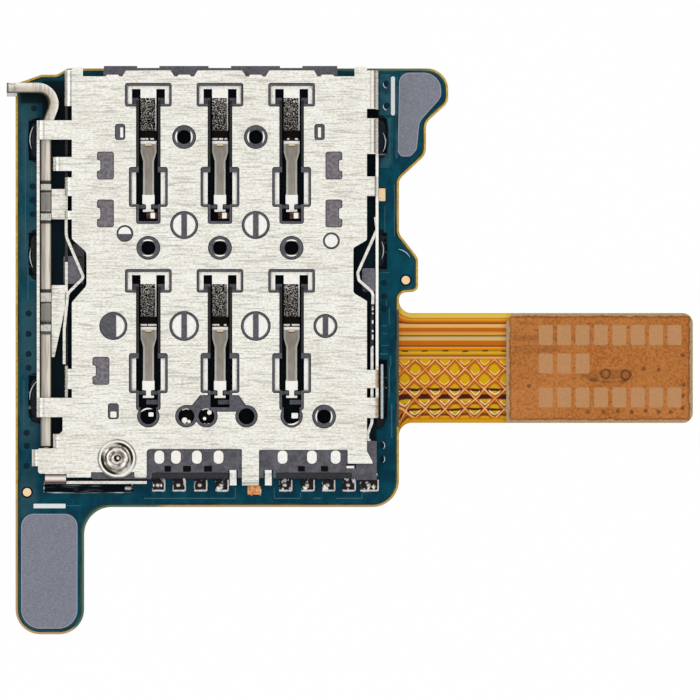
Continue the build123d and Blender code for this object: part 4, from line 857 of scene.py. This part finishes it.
# %% Paper, streaks and the ragged edge
stiff = Finish("stiffener_film", roughness=0.5, Specular_IOR_Level=0.12)
paper = stiff.noise(11.0, 3.0)
cloud = stiff.noise(0.5, 2.0, shift=7.0)
hatch = stiff.noise(9.0, 1.0, (0.25, 1.0, 1), 2.0)
stiff.tone = stiff.layered(
    stiff.blend(stiff.step(cloud, 0.35, 0.65), (184, 108, 44), (200, 124, 60)),
    (stiff.step(paper, 0.40, 0.66) * 0.5, (222, 150, 84)),
    (stiff.step(paper, 0.44, 0.30) * 0.5, (146, 76, 30)),
    (stiff.step(hatch, 0.58, 0.72) * stiff.step(stiff.y, -3.7, -3.2) * 0.4, (120, 62, 30)),
)
STREAKS = [(512, 592, 335, 341, 0.36), (514, 560, 346, 353, 0.30), (580, 632, 371, 378, 0.34)]
for *corners, amount in STREAKS:
    stiff.cover(stiff.patch(*corners, 0.10) * (cloud + 0.4) * amount, (104, 54, 24))
low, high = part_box("tail_stiffener")
from_side = (stiff.x - low.x / MM).smaller(high.x / MM - stiff.x)
from_edge = from_side.smaller((stiff.y - low.y / MM).smaller(high.y / MM - stiff.y))
ragged = from_edge + (stiff.noise(3.0, 3.0) - 0.5) * 0.16
stiff.cover(stiff.band(ragged, 0.11, 0.17, 0.02) * 0.55, (116, 74, 42))
stiff.cover(stiff.step(ragged, 0.12, 0.08), stiff.blend(paper, (150, 118, 84), (222, 190, 146)))
print("stiffener", round((high.x - low.x) / MM, 2), "by", round((high.y - low.y) / MM, 2), "mm")

# %% Specks, loops and a smear
SPECKS = [
    (588, 412), (604, 412), (618, 411), (632, 412), (646, 411), (659, 412), (671, 412), (683, 355),
    (684, 385), (683, 396), (683, 408), (529, 386), (564, 370), (644, 369), (659, 370),
]
specks = 0
for pixel in SPECKS:
    specks = stiff.step(stiff.radius(*spot(*pixel)), 0.10, 0.05) + specks
stiff.cover(specks.clamped() * 0.62, (88, 50, 24))
for pixel in ((606, 374), (626, 375)):
    loop = stiff.radius(*spot(*pixel)) + (paper - 0.5) * 0.05
    stiff.cover(stiff.band(loop, 0.12, 0.20, 0.03) * 0.7, (84, 48, 26))
stiff.cover(stiff.patch(588, 628, 378, 382.5, 0.09) * stiff.step(hatch, 0.40, 0.55) * 0.7, (84, 48, 26))
stiff.surface(stiff.tone, paper, 0.2, 0.4, 0.012)
print("specks on the stiffener:", len(SPECKS))

# %% [markdown]
# ## Bare pads
# The two big grey faces carry the ground connection: tinned once, now matt and pitted. Two noises, one
# coarse and one fine, give pits in more than one size, which a single noise never does.

# %% The pitted grey of the bare pads
bare = Finish("bare_grey_pad", roughness=0.55, Specular_IOR_Level=0.3)
tooth = bare.noise(10.0, 4.0)
pits = bare.step(bare.noise(24.0, 2.0), 0.40, 0.62)
bare.surface(bare.blend(tooth * 0.5 + pits * 0.5, (118, 120, 133), (154, 157, 170)), tooth, 0.3, 0.4, 0.01)
print("pads:", bare.material.name)

# %% [markdown]
# ## Solder, flux, ink and thin lacquer
# The remaining finishes are plain: two tones clouded by one noise, which also dulls and lifts the surface.
# Solder is a metal with a sharp change between its tones, because it mirrors dark and light things; ink and
# lacquer change softly. One function with a table of values is easier to compare than eleven nearly equal
# cells.

# %% Finishes of two clouded tones
def clouded(name, dark, light, noise, cut=None, dulls=None, depth=0, **constants):
    """Two tones mixed by one noise, cut sharply if wanted; it may also change roughness and relief."""
    finish = Finish(name, **constants)
    cloud = finish.noise(*noise)
    share = finish.step(cloud, *cut) if cut else cloud
    finish.set("Base Color", finish.blend(share, dark, light))
    if dulls:
        finish.set("Roughness", cloud * dulls[0] + dulls[1])
    if depth:
        finish.bump(cloud, depth)
    return finish


solder = clouded(
    "solder", (46, 43, 45), (214, 212, 210), (7.0, 3.0), cut=(0.46, 0.62), dulls=(0.25, 0.08), depth=0.03,
    roughness=0.16, metallic=1.0,
)
dark_solder = clouded(
    "dark_solder", (34, 34, 40), (196, 200, 202), (3.0, 3.0, (0.25, 2.4, 1)), cut=(0.42, 0.66),
    dulls=(0.2, 0.12), depth=0.03, roughness=0.2, metallic=1.0,
)
flux = clouded(
    "dark_flux", (2, 8, 12), (8, 26, 36), (4.0, 3.0), dulls=(0.15, 0.05), depth=0.03,
    roughness=0.12, Specular_IOR_Level=0.12, Coat_Weight=0.05,
)
glint = clouded("wet_glint", (150, 170, 178), (236, 244, 246), (9.0, 2.0), roughness=0.3, metallic=0.6)
print("finishes for solder and flux:", len((solder, dark_solder, flux, glint)))

# %% Inks, and lacquer over copper
INK = {"dulls": (0.2, 0.5), "depth": 0.006, "roughness": 0.6}
VIA_LACQUER = {"roughness": 0.35, "Specular_IOR_Level": 0.1}
ink = clouded("white_ink", (250, 255, 255), (255, 255, 255), (12.0, 3.0), **INK)
pale_ink = clouded("pale_ink", (194, 132, 76), (214, 160, 108), (9.0, 3.0), **INK)
mask_shade = clouded(
    "mask_at_the_rim", (14, 40, 44), (66, 78, 62), (1.2, 3.0), cut=(0.35, 0.65), dulls=(0.2, 0.2),
    roughness=0.3, Specular_IOR_Level=0.1,
)
raised_mask = clouded(
    "mask_over_copper", (30, 86, 102), (58, 112, 124), (3.0, 3.0), dulls=(0.2, 0.2), depth=0.006,
    roughness=0.3, Specular_IOR_Level=0.35,
)
pour_mask = clouded(
    "mask_over_pour", (6, 62, 78), (34, 96, 112), (2.5, 3.0), cut=(0.35, 0.65),
    roughness=0.3, Specular_IOR_Level=0.15,
)
via_rim = clouded("via_rim", (0, 30, 42), (0, 46, 60), (6.0, 2.0), **VIA_LACQUER)
via_cap = clouded("via_cap", (0, 34, 48), (2, 48, 62), (6.0, 2.0), **VIA_LACQUER)
print("inks and lacquers:", len((ink, pale_ink, mask_shade, raised_mask, pour_mask, via_rim, via_cap)))

# %% [markdown]
# ## The rivet
# The rivet's head was turned, then peened down in the middle: fine rings, steps, a dent and a few scuffs.
# A sine of the distance from the centre makes the turning marks, and bands of the same distance paint the
# steps' light and shade: a painted highlight on one and painted shade on two. A small painted highlight
# sits beside the dark centre.

# %% A rivet turned in rings
TURNING = 62
rivet = Finish("turned_rivet", roughness=0.24, metallic=1.0)
away = rivet.radius(*PIVOT)
worn = rivet.noise(5.0, 3.0)
scuffed = rivet.step(rivet.noise(4.0, 3.0, shift=3.0), 0.52, 0.62)
# Coats: painted highlight and shade on the steps, scuffs, the dark centre, and a painted highlight near the
# centre.
rivet.tone = rivet.layered(
    rivet.blend(rivet.step(worn, 0.4, 0.6), (138, 128, 118), (240, 234, 224)),
    (rivet.band(away, 0.30, 0.35, 0.015), (255, 254, 250)),
    (rivet.band(away, 0.20, 0.235, 0.02) * 0.8, (72, 62, 54)),
    (rivet.band(away, 0.38, 0.45, 0.02) * 0.55, (112, 96, 84)),
    (scuffed * 0.55, (84, 70, 60)),
    (rivet.step(away + (worn - 0.5) * 0.12, 0.15, 0.11), (40, 36, 34)),
    (rivet.step(rivet.radius(PIVOT[0] + 0.04, PIVOT[1] + 0.02), 0.07, 0.04), (236, 232, 226)),
)
rivet.set("Base Color", rivet.tone)
rivet.set("Roughness", rivet.noise(8.0) * 0.2 + 0.15)
rivet.bump((away * TURNING).sine(), 0.008)
print("rivet turned every", round(2 * math.pi / TURNING, 3), "mm")

# %% [markdown]
# ## Dressing the solids
# Each solid from the CAD model is one real part, so it takes one finish. A table from names to finishes
# shows at a glance what is what, and the print below it says whether a solid was forgotten.

# %% Give every solid its finish
dress = {
    "lower_board": laminate, "upper_board": laminate, "flex_circuit": film, "tail_stiffener": stiff,
    "plug_housing": plug_body, "plug_contacts": gold, "leg_pad": bare, "ear_pad": bare, "shell": shell,
    "insulator": moulding, "rivet": rivet, "push_rod": rod, "ejector_lever": rod, "detect_spring": spring,
    "detect_anchor": spring, "rear_tab_left": bracket, "rear_tab_right": bracket, "ground_terminal": tin,
    "switch_terminal": tin, "corner_hold_down": tin,
}
for number in range(1, 7):
    dress[f"terminal_{number}"] = tin
    dress[f"contact_{number}"] = blade
for name, node in nodes.items():
    for place_in_list in range(len(node.material_slots)):
        node.material_slots[place_in_list].material = dress[name].material
print("dressed", len(nodes), "solids; missing:", sorted(set(nodes) - set(dress)))

# %% [markdown]
# ## Tools for thin pieces
# Everything below is thin: a skin of solder mask, a printed bar, a solder fillet. Each starts from one of
# Blender's own shapes, a cube, a cone or a sphere, and is bevelled, spun or cut until it has the real
# outline. A piece is worked on in millimetres and scaled to metres at the end, so its object can stay at
# the origin.

# %% Finish a piece and hand it to the frame
def finished(name, mesh, finish, body="socket"):
    """Close the mesh, scale it to metres, and let it ride on its body."""
    bmesh.ops.remove_doubles(mesh, verts=mesh.verts, dist=1e-5)
    bmesh.ops.recalc_face_normals(mesh, faces=mesh.faces)
    bmesh.ops.scale(mesh, vec=(MM, MM, MM), verts=mesh.verts)
    data = bpy.data.meshes.new(name)
    mesh.to_mesh(data)
    mesh.free()
    made = bpy.data.objects.new(name, data)
    bpy.context.scene.collection.objects.link(made)
    data.materials.append(finish.material)
    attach(made, body)
    print(name, "has", len(data.polygons), "faces")
    return made


print("thin pieces ride on the socket unless told otherwise")

# %% [markdown]
# ## Plates and discs
# A pad or a printed bar is a flat plate with rounded corners. Scaling a cube and bevelling its upright
# edges gives that corner at any size, where a scaled rounded plate would stretch it. A disc is a cone with
# equal ends, or a shallow cone where its rim slopes. Both take their place in pixels, as everything on the
# board does.

# %% A plate with rounded corners, and a disc
TINY = 1e-6


def bevel(mesh, edges, offset, segments):
    """The editor's bevel: on edges, round, and keeping the material."""
    bmesh.ops.bevel(
        mesh, geom=edges, offset=offset, offset_type="OFFSET", segments=segments,
        profile=0.5, affect="EDGES", material=-1, clamp_overlap=True,
    )


def stretched(box, z0, z1):
    """The matrix that stretches a shape of size 1 over a box of pixels, between two heights."""
    x0, x1, y0, y1 = across_pixels(*box)
    size = Vector((abs(x1 - x0), abs(y1 - y0), z1 - z0))
    return Matrix.LocRotScale(Vector(((x0 + x1) / 2, (y0 + y1) / 2, (z0 + z1) / 2)), None, size)


def slab(mesh, box, z0, z1, radius=0.0, edge=0.0):
    """A plate with rounded corners in plan and a softened top edge."""
    before = set(mesh.verts)
    bmesh.ops.create_cube(mesh, size=1, matrix=stretched(box, z0, z1))
    new = set(mesh.verts) - before
    if radius:
        upright = {e for v in new for e in v.link_edges if abs(e.verts[0].co.z - e.verts[1].co.z) > TINY}
        bevel(mesh, list(upright), radius, 4)
        new = set(mesh.verts) - before
    if edge:
        top = {e for v in new for e in v.link_edges if min(e.verts[0].co.z, e.verts[1].co.z) > z1 - TINY}
        bevel(mesh, list(top), edge, 3)


def slabs(name, finish, slot, boxes, *sizes):
    """One piece made of equal plates over boxes of pixels."""
    mesh = bmesh.new()
    for box in boxes:
        slab(mesh, box, *sizes)
    return finished(name, mesh, finish)


def disc(mesh, pixel, radius, z0, z1, sides=24, top=None):
    """A round plate, or a shallow cone where the top radius differs."""
    bmesh.ops.create_cone(
        mesh, cap_ends=True, segments=sides, radius1=radius, radius2=radius if top is None else top,
        depth=z1 - z0, matrix=Matrix.Translation((*spot(*pixel), (z0 + z1) / 2)),
    )


print("plates and discs are ready")

# %% [markdown]
# ## Crescents
# Light on a round edge shows as a crescent, wide in the middle and thin at its ends. Spinning a small
# section about the centre gives part of a ring; pulling its inner side outwards near the ends then makes
# the crescent.

# %% Part of a ring that narrows to its ends
def crescent(mesh, pixel, inner, outer, z0, z1, start, sweep):
    """Part of a flat ring from a start angle, whose inner side meets the outer one at both ends."""
    first = math.radians(start)
    across_ring = Vector((math.cos(first), math.sin(first), 0))
    middle = Vector((*spot(*pixel), 0))
    corners = [(inner, z0), (outer, z0), (outer, z1), (inner, z1)]
    section = [mesh.verts.new(middle + across_ring * r + Vector((0, 0, z))) for r, z in corners]
    before = set(mesh.verts) - set(section)
    bmesh.ops.spin(
        mesh, geom=[mesh.faces.new(section)], cent=middle, axis=(0, 0, 1), angle=math.radians(sweep), steps=14
    )
    for vert in set(mesh.verts) - before:
        arm = vert.co.xy - middle.xy
        turn = (math.degrees(math.atan2(arm.y, arm.x)) - start) % 360
        share = min(1.0, turn / sweep) if turn < sweep + 1 else 0.0
        swell = max(math.sin(math.pi * share) ** 0.6, 0.08)
        wanted = outer + (arm.length - outer) * swell
        vert.co.xy = middle.xy + arm * (wanted / arm.length)


print("a crescent is spun in 14 steps")

# %% [markdown]
# ## Mounds of solder
# Solder that has wetted a joint is a low heap with a rounded square outline. Metaballs would flow together
# nicely but leave many faces; a sphere whose outline is pushed towards a square, squashed and cut flat at
# the board, is light and takes its size exactly.

# %% A squared mound, cut flat
def cut_flat(mesh, geometry, point, normal):
    """Cut geometry at a plane, drop what lies behind it, and close the cut."""
    cut = bmesh.ops.bisect_plane(mesh, geom=geometry, plane_co=point, plane_no=normal, clear_inner=True)
    rim_edges = [item for item in cut["geom_cut"] if isinstance(item, bmesh.types.BMEdge)]
    bmesh.ops.edgeloop_fill(mesh, edges=rim_edges)


def everything(mesh):
    return list(mesh.verts) + list(mesh.edges) + list(mesh.faces)


def mound(mesh, box, z0, height, squareness=0.7):
    """A low rounded heap over a box of pixels, squarer than an ellipsoid."""
    before = set(mesh.verts)
    bmesh.ops.create_uvsphere(mesh, u_segments=20, v_segments=12, radius=0.5)
    new = list(set(mesh.verts) - before)
    for vert in new:
        flat = vert.co.xy
        if flat.length > TINY:
            square = max(abs(flat.x), abs(flat.y)) / flat.length
            vert.co.xy = flat * (1 + (1 / square - 1) * squareness)
    bmesh.ops.transform(mesh, verts=new, matrix=stretched(box, z0 - height, z0 + height))
    parts = list({e for v in new for e in v.link_edges}) + list({f for v in new for f in v.link_faces}) + new
    cut_flat(mesh, parts, (0, 0, z0), (0, 0, 1))


print("a mound starts from a sphere of 20 by 12")

# %% [markdown]
# ## Skins that follow a solid
# The lacquer's outline is the board's own, and the pale edge of a pad follows the pad. Drawing these
# outlines again would let them drift from the solid. A skin is therefore a copy of one level face: inset,
# with either its border or its inside kept, then thickened and set on its level.

# %% Copy a level face, inset it and thicken it
def copied_face(node, facing=1):
    """One level face of a solid as a mesh in millimetres, and its height."""
    mesh = bmesh.new()
    mesh.from_mesh(nodes[node].data)
    bmesh.ops.scale(mesh, vec=(1 / MM, 1 / MM, 1 / MM), verts=mesh.verts)
    bmesh.ops.remove_doubles(mesh, verts=mesh.verts, dist=1e-4)
    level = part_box(node)[1 if facing > 0 else 0].z / MM
    facing_faces = [f for f in mesh.faces if f.normal.z * facing > 0.9]
    kept_faces = [f for f in facing_faces if abs(f.calc_center_median().z - level) < 1e-3]
    bmesh.ops.delete(mesh, geom=list(set(mesh.faces) - set(kept_faces)), context="FACES")
    return mesh, level


def inset(mesh, width, keep_border):
    """Inset the outline, and keep either the border or what lies inside it."""
    border = bmesh.ops.inset_region(
        mesh, faces=mesh.faces, thickness=width, use_boundary=True, use_even_offset=True
    )["faces"]
    spare = list(set(mesh.faces) - set(border)) if keep_border else border
    bmesh.ops.delete(mesh, geom=spare, context="FACES")


def thickened(mesh, thickness, level, facing=1):
    """Thicken a skin and set the side that touches the solid on a level."""
    bmesh.ops.solidify(mesh, geom=mesh.faces, thickness=thickness)
    heights = [v.co.z for v in mesh.verts]
    touching = min(heights) if facing > 0 else max(heights)
    bmesh.ops.translate(mesh, verts=mesh.verts, vec=(0, 0, level - touching))


print("skins can be copied from", len(nodes), "solids")

# %% [markdown]
# ## The coats of lacquer
# The petrol coat stops a tenth of a millimetre short of the board's edge, where the bare laminate shows as
# an amber rim, and just inside its edge it thins to a darker line. The coat is the board's face inset once;
# the line is the same face inset twice, of which only the second border is kept.

# %% Lacquer on both faces of the board, and its darker edge
RIM = 0.092
COAT = 0.015
mask_top = board_top + COAT


def coat(name, node, facing, thickness):
    mesh, level = copied_face(node, facing)
    inset(mesh, RIM, False)
    thickened(mesh, thickness, level, facing)
    return finished(name, mesh, mask)


coat("mask_front", "upper_board", 1, COAT)
coat("mask_back", "lower_board", -1, COAT / 5)

LINE_WIDE, LINE_HEIGHT = 0.048, 0.018
border_mesh, border_level = copied_face("upper_board")
inset(border_mesh, RIM - LINE_WIDE / 4, False)
inset(border_mesh, LINE_WIDE, True)
thickened(border_mesh, LINE_HEIGHT, border_level)
finished("mask_edge", border_mesh, mask_shade)

# %% [markdown]
# ## Printed bars and plain blocks
# White ink marks the places of parts on the board, and rows of paler blocks stand on the stiffened end. Ink
# could be a mask in the finish below it, but as thin plates it keeps crisp edges and can be moved or
# recoloured by itself.

# %% White bars, and rows of plain blocks on the tail
INK_TOP = mask_top + 0.01
bars = bmesh.new()
slab(bars, (33, 65, 504, 508.5), board_top, INK_TOP, 0.02)
slab(bars, (391, 395, 76, 115), board_top, INK_TOP, 0.06)
finished("printed_bars", bars, ink)

BLOCK_WIDE, BLOCK_PITCH = 14, 18.4
print_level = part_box("tail_stiffener")[1].z / MM
blocks = bmesh.new()
for column, last, *block_rows in ((539, 684, 325, 345), (539, 592, 353.5, 373.5), (539, 686, 387.5, 407.5)):
    while column + BLOCK_WIDE <= last:
        box = (column, column + BLOCK_WIDE, *block_rows)
        slab(blocks, box, print_level - 0.01, print_level + 0.003, 0.06)
        column += BLOCK_PITCH
finished("plain_print", blocks, pale_ink)

# %% [markdown]
# ## Bare copper
# Where the lacquer is left open, small copper pads and two round targets show, each with a dull rim or a
# dark well of painted shade about it. The rim is a slightly wider plate that ends a little lower, so no
# hole has to be cut in the lacquer. The rear pad lies under a tab, so its copper is darkened as painted
# shade.

# %% Copper pads with their rims, and targets in their wells
PAD_TOP = mask_top + 0.012
SIDE_PAD, REAR_PAD = (378.5, 385.5, 188, 201), (247.3, 260.3, 486, 495)
PAD_RIMS = [(377.7, 386.3, 187.2, 201.8), (246.5, 261, 485, 495.8)]
slabs("copper_pads", copper, "gold", [SIDE_PAD], board_top, PAD_TOP, 0.02, 0.01)
# The rear pad's copper is darkened as painted shade.
slabs("rear_copper_pad", copper_in_shade, "gold", [REAR_PAD], board_top, PAD_TOP, 0.02, 0.01)
slabs("pad_rims", tin, "tinned_strip", PAD_RIMS, board_top, mask_top + 0.004, 0.03)
targets = bmesh.new()
target_wells = bmesh.new()
for pixel in ((26.5, 492.5), (405.9, 280)):
    disc(targets, pixel, 0.150, board_top, mask_top + 0.008)
    disc(target_wells, pixel, 0.205, board_top, mask_top + 0.003)
finished("copper_targets", targets, copper)
finished("target_wells", target_wells, recess_shade)

# %% [markdown]
# ## Glints on the glossy coat
# Beside the feet, flux and lacquer run together into a glossy coat that mirrors the lamps as thin arcs. A
# glossier coat would show them only under the same lamps; thin pale crescents stay where they belong.

# %% Arcs and a bar of light
GLINT_WIDE, GLINT_TOP = 0.03, 0.79
GLINTS = [
    (369, 142, 17, -36, 72), (52, 139, 23, 145, 60), (50, 256, 21, 158, 56), (50, 397, 21, 129, 60),
    (387, 84, 4, 150, 120), (387, 106, 4, 150, 120), (380.8, 445.6, 4.4, -60, 130),
    (380.8, 459.4, 4.4, -60, 110), (398, 262, 13, 20, 70), (366, 250, 18, -30, 60),
]
glints = bmesh.new()
for *pixel, reach_pixels, start, sweep in GLINTS:
    outer = reach_pixels / PIXELS_PER_MM
    crescent(glints, pixel, outer - GLINT_WIDE, outer, board_top, GLINT_TOP, start, sweep)
slab(glints, (380.6, 383.4, 364, 419), board_top, GLINT_TOP + 0.01, 0.04, 0.02)
finished("wet_glints", glints, glint)

# %% [markdown]
# ## Vias and buried tracks
# Vias are plated holes that the lacquer has covered: a sloping rim with a sunken middle. Tracks and filled
# areas lie under the lacquer and lift it by a few thousandths of a millimetre. A displacement map would
# need a very fine mesh for that; low cones, discs and plates do it with a few faces each.

# %% Vias
VIAS = [
    (33.5, 108), (32, 186), (32, 200), (32, 214), (28, 313.5), (28, 334), (28, 354), (28, 368), (26, 433),
    (26, 446), (26, 466), (386, 83), (387, 105), (384, 283), (384, 296), (384, 309), (383, 445), (383, 459),
]
VIA_FOOT, VIA_TOP, CAP_RADIUS = 0.125, 0.105, 0.075
via_rings = bmesh.new()
via_caps = bmesh.new()
for pixel in VIAS:
    disc(via_rings, pixel, VIA_FOOT, board_top, mask_top + 0.004, 20, VIA_TOP)
    disc(via_caps, pixel, CAP_RADIUS, board_top, mask_top + 0.007, 16)
finished("via_rings", via_rings, via_rim)
finished("via_caps", via_caps, via_cap)

# %% Filled areas and tracks under the lacquer
# Some of these lines, near the right edge of the board, are painted highlights on the glossy lacquer; the
# rest are tracks under it.
TRACKS_AND_HIGHLIGHTS = [
    (144, 235, 498, 499.2), (274, 301, 498, 499.2), (313, 321, 498, 499.2), (336, 362, 498, 499.2),
    (234.6, 235.6, 488, 499), (273.6, 274.6, 488, 499), (361.5, 362.5, 492, 499), (300, 301, 493, 499),
    (27, 28, 240, 300), (24.5, 25.3, 130, 250), (39, 81, 505.5, 506.3), (389.5, 390.3, 118, 160),
    (384.5, 385.3, 205, 232), (381, 390, 272, 272.8), (31, 31.8, 166, 182), (23, 23.8, 380, 428),
    (388.8, 389.8, 308, 324), (391, 392.4, 404, 438), (388.6, 390, 366, 398), (381, 387, 325.2, 326.4),
    (382, 388, 333.2, 334), (381, 389, 345, 346), (380, 388, 353.2, 354.6), (394, 394.9, 184, 236),
    (390, 391.2, 356, 366), (386, 387, 300, 306),
]
POURS = [
    (380, 390.4, 73.5, 114.5), (380, 393, 117, 167.5), (395.4, 398, 76, 158), (29, 38, 230, 281),
    (29, 38, 373, 426),
]
slabs("copper_pours", pour_mask, "board_mask", POURS, board_top, mask_top + 0.003, 0.03)
slabs("buried_tracks", raised_mask, "board_mask", TRACKS_AND_HIGHLIGHTS, board_top, mask_top + 0.006, 0.0, 0.004)

# %% [markdown]
# ## Solder
# The shell's feet and the terminals' tails stand in solder. Over the feet it is dark and glassy with flux;
# at the tails it is bright, drawn up round the strip. Low squared mounds, cut flat at the board, have that
# wetted look.

# %% Fillets over the feet, cut off at the walls
FOOT_SOLDER = 0.16


def half_mounds(name, boxes, wall_column, towards):
    """Mounds cut off at a wall: towards is 1 to keep the part on the right, -1 for the left."""
    mesh = bmesh.new()
    for box in boxes:
        mound(mesh, box, board_top, FOOT_SOLDER, 0.55)
    cut_flat(mesh, everything(mesh), (spot(wall_column, 0)[0], 0, 0), (towards, 0, 0))
    return finished(name, mesh, flux)


LEFT_FEET = [(27.2, 50, 117, 163), (27.2, 50, 228, 281), (27.2, 50, 372, 424)]
RIGHT_FEET = [(364, 388.6, 114, 159), (364, 387.6, 228, 272), (364, 388, 357, 430)]
half_mounds("foot_fillets_left", LEFT_FEET, 39.6, -1)
half_mounds("foot_fillets_right", RIGHT_FEET, 377, 1)

# %% Fillets and bright edges at the tails
TAIL_PIXELS = [158.4, 179, 200.5, 222, 285.7, 308, 328.6, 349.2]
WIDE_TAIL = 369.5
TAIL_TOP = 0.712
TAIL_SOLDER = 0.07
tail_fillets = bmesh.new()
for box in [(px - 7.2, px + 7.2, 479, 492.5) for px in TAIL_PIXELS] + [(359.5, 379, 478.5, 493)]:
    mound(tail_fillets, box, board_top, TAIL_SOLDER, 0.9)
finished("tail_fillets", tail_fillets, solder)

tail_edges = bmesh.new()
for px in TAIL_PIXELS + [WIDE_TAIL]:
    half = 9.3 if px == WIDE_TAIL else 6.6
    slab(tail_edges, (px - half, px + half - 1, 490, 491.6), board_top, TAIL_TOP, 0.02)
    slab(tail_edges, (px + half - 1.3, px + half, 480, 491), board_top, TAIL_TOP, 0.01)
    mound(tail_edges, (px - 3.4, px + 1.4, 482.5, 487.5), 0.68, 0.045, 0.2)
finished("tail_edges", tail_edges, dull_tin)

# %% The long fillet behind the left corner
rear_fillet = bmesh.new()
mound(rear_fillet, (42.0, 133.5, 482, 494), board_top, 0.085, 1.0)
for bright_spot in ((71, 80, 484, 493), (122, 133, 484.5, 493.5)):
    mound(rear_fillet, bright_spot, board_top, 0.12, 0.8)
finished("rear_fillet", rear_fillet, dark_solder)

# %% [markdown]
# ## Small bright edges
# The bores in the moulding catch the lamps as thin crescents at their edges; these painted highlights are
# crescents of tin, set only where the light falls. Strips of the stamping show through the slots. They are
# thin pieces of their own, set just below or above the faces about them.

# %% Painted highlights: crescents in the bores
BORE_RADIUS, LIP_TOP = 0.252, 2.006
BORE_LIP_HIGHLIGHTS = [
    (184, 137, 0.312, 84, (-42, 138)), (256, 137, 0.312, 84, (-42, 138)), (148, 248, 0.305, 80, (50, 230)),
    (220, 248, 0.305, 80, (50, 230)), (291.5, 248, 0.305, 80, (50, 230)),
    (324, 416.5, 0.305, 90, (130, 310)), (148, 416.5, 0.305, 90, (60,)), (291.5, 416.5, 0.305, 90, (240,)),
]
lips = bmesh.new()
for *pixel, outer, sweep, starts in BORE_LIP_HIGHLIGHTS:
    for start in starts:
        crescent(lips, pixel, BORE_RADIUS, outer, LIP_TOP - 0.1, LIP_TOP, start, sweep)
finished("bore_lip_highlights", lips, tin)

# %% Strip in the slots and spots
SLOT_FLOOR, SLOT_TOP = 1.9, 2.004
SPOT_RADIUS = 0.225
SLOTS = [
    (120.3, 123.2, 127.5, 137.5, 0.02), (318, 321, 127.5, 137.5, 0.02), (110.5, 116.5, 411.5, 417.5, 0.03),
]
slot_strips = bmesh.new()
for *box, radius in SLOTS:
    slab(slot_strips, box, SLOT_FLOOR, SLOT_TOP, radius)
slab(slot_strips, (346.5, 354, 466, 468.2), 1.88, 1.906, 0.02)
disc(slot_strips, (331.3, 240.8), SPOT_RADIUS, SLOT_FLOOR, SLOT_TOP)
for stud in (112.6, 184.2, 255.8, 327.4):
    slab(slot_strips, (stud - 6.5, stud + 6.5, 74.8, 78.2), SLOT_FLOOR, SLOT_TOP + 0.008, 0.055)
finished("slot_strips", slot_strips, tin)

HALF_SPOT = (124.8, 233.4)
half_disc = bmesh.new()
disc(half_disc, HALF_SPOT, SPOT_RADIUS, SLOT_FLOOR, SLOT_TOP)
cut_flat(half_disc, everything(half_disc), (0, spot(*HALF_SPOT)[1] - 0.02, 0), (0, 1, 0))
finished("half_disc", half_disc, tin)

# %% [markdown]
# ## Steps and floors of the moulding
# The back edge of the moulding has ribs and small notches, and floors lie below the springs in both side
# walls. They are low plates in darker or lighter copies of the moulding's own finish, so their grain
# matches: the ribs are in painted shade, the notches in near-black painted shade, and the floors are
# painted paler as light.

# %% Ribs and notches in painted shade, floors in painted light
REAR_TOP = 1.9
RIBS = [(152, 228.5, 472.5, 478.5), (276, 352, 472.5, 478.5)]
NOTCHES = [
    (346.5, 366, 463.4, 465.2), (355, 357.5, 465, 468.6), (164.5, 171, 465.8, 471.8),
    (183, 191, 465.8, 471.8), (204, 212, 465.8, 471.8), (298, 305, 466, 471.5), (321, 328, 466, 471.5),
]
slabs("rear_ribs", shadow_moulding, "moulding", RIBS, REAR_TOP - 0.05, REAR_TOP + 0.03, 0.05, 0.04)
slabs("rear_notches", recess_shade, "moulding", NOTCHES, REAR_TOP - 0.02, REAR_TOP + 0.004, 0.03)
leaf_floor = bmesh.new()
for *box, floor_top in ((63, 84, 256, 284, 0.78), (72, 84, 243.5, 258, 0.78), (362, 375, 268, 292, 0.76)):
    slab(leaf_floor, box, board_top, floor_top, 0.06, 0.02)
finished("leaf_floor", leaf_floor, lit_moulding)

# %% [markdown]
# ## Ends of the strips
# In the slots and the two-lobed hole between the rows, the cut ends of the contact strips shine against
# dark wells of painted shade. Each end is a tiny plate or disc over a wider dark one, also painted shade,
# which gives the bright dot its outline.

# %% Strip ends, their shade and the wells
END_BOTTOM, END_TOP = 1.64, 1.72
DOTS = [(184.6, 420.3, 0.10), (189.0, 421.6, 0.06), (209.4, 412.4, 0.08), (204.6, 418.6, 0.06)]
end_strips = bmesh.new()
end_shades = bmesh.new()
lobe_wells = bmesh.new()
for column in (148, 219.6, 291.2):
    slab(end_strips, (column + 2.6, column + 7, 212.8, 218.4), 1.7, 1.93, 0.02)
    slab(end_shades, (column - 1.4, column + 9, 212.4, 218.8), 1.7, 1.92, 0.03)
for pixel in ((186.5, 416.5), (206.5, 416.5)):
    disc(lobe_wells, pixel, 0.25, END_BOTTOM, END_TOP)
for *pixel, radius in DOTS:
    disc(end_strips, pixel, radius, END_TOP, END_TOP + 0.04)
for box in ((148.5, 153.5, 412.4, 416.6), (291.5, 298, 413, 418.4)):
    slab(end_strips, box, END_BOTTOM, END_TOP, 0.03)
finished("strip_ends", end_strips, bracket)
finished("strip_end_shades", end_shades, shade_bronze)
finished("lobe_wells", lobe_wells, recess_shade)

# %% [markdown]
# ## Light edges round the bare pads
# Each grey pad has a slightly raised edge that catches the light; its paler colour is a painted highlight.
# It follows the pad's outline exactly, so it is the border of the pad's own face.

# %% A border for each pad
PAD_EDGE = 0.032
for node in ("leg_pad", "ear_pad"):
    border_mesh, border_level = copied_face(node)
    inset(border_mesh, PAD_EDGE, True)
    thickened(border_mesh, 0.006, border_level - 0.003)
    finished(f"{node}_border", border_mesh, pad_edge_highlight)

# %% [markdown]
# ## Close
# The plain view transform keeps colours as they were picked.

# %% Close
bpy.context.scene.view_settings.view_transform = "Standard"
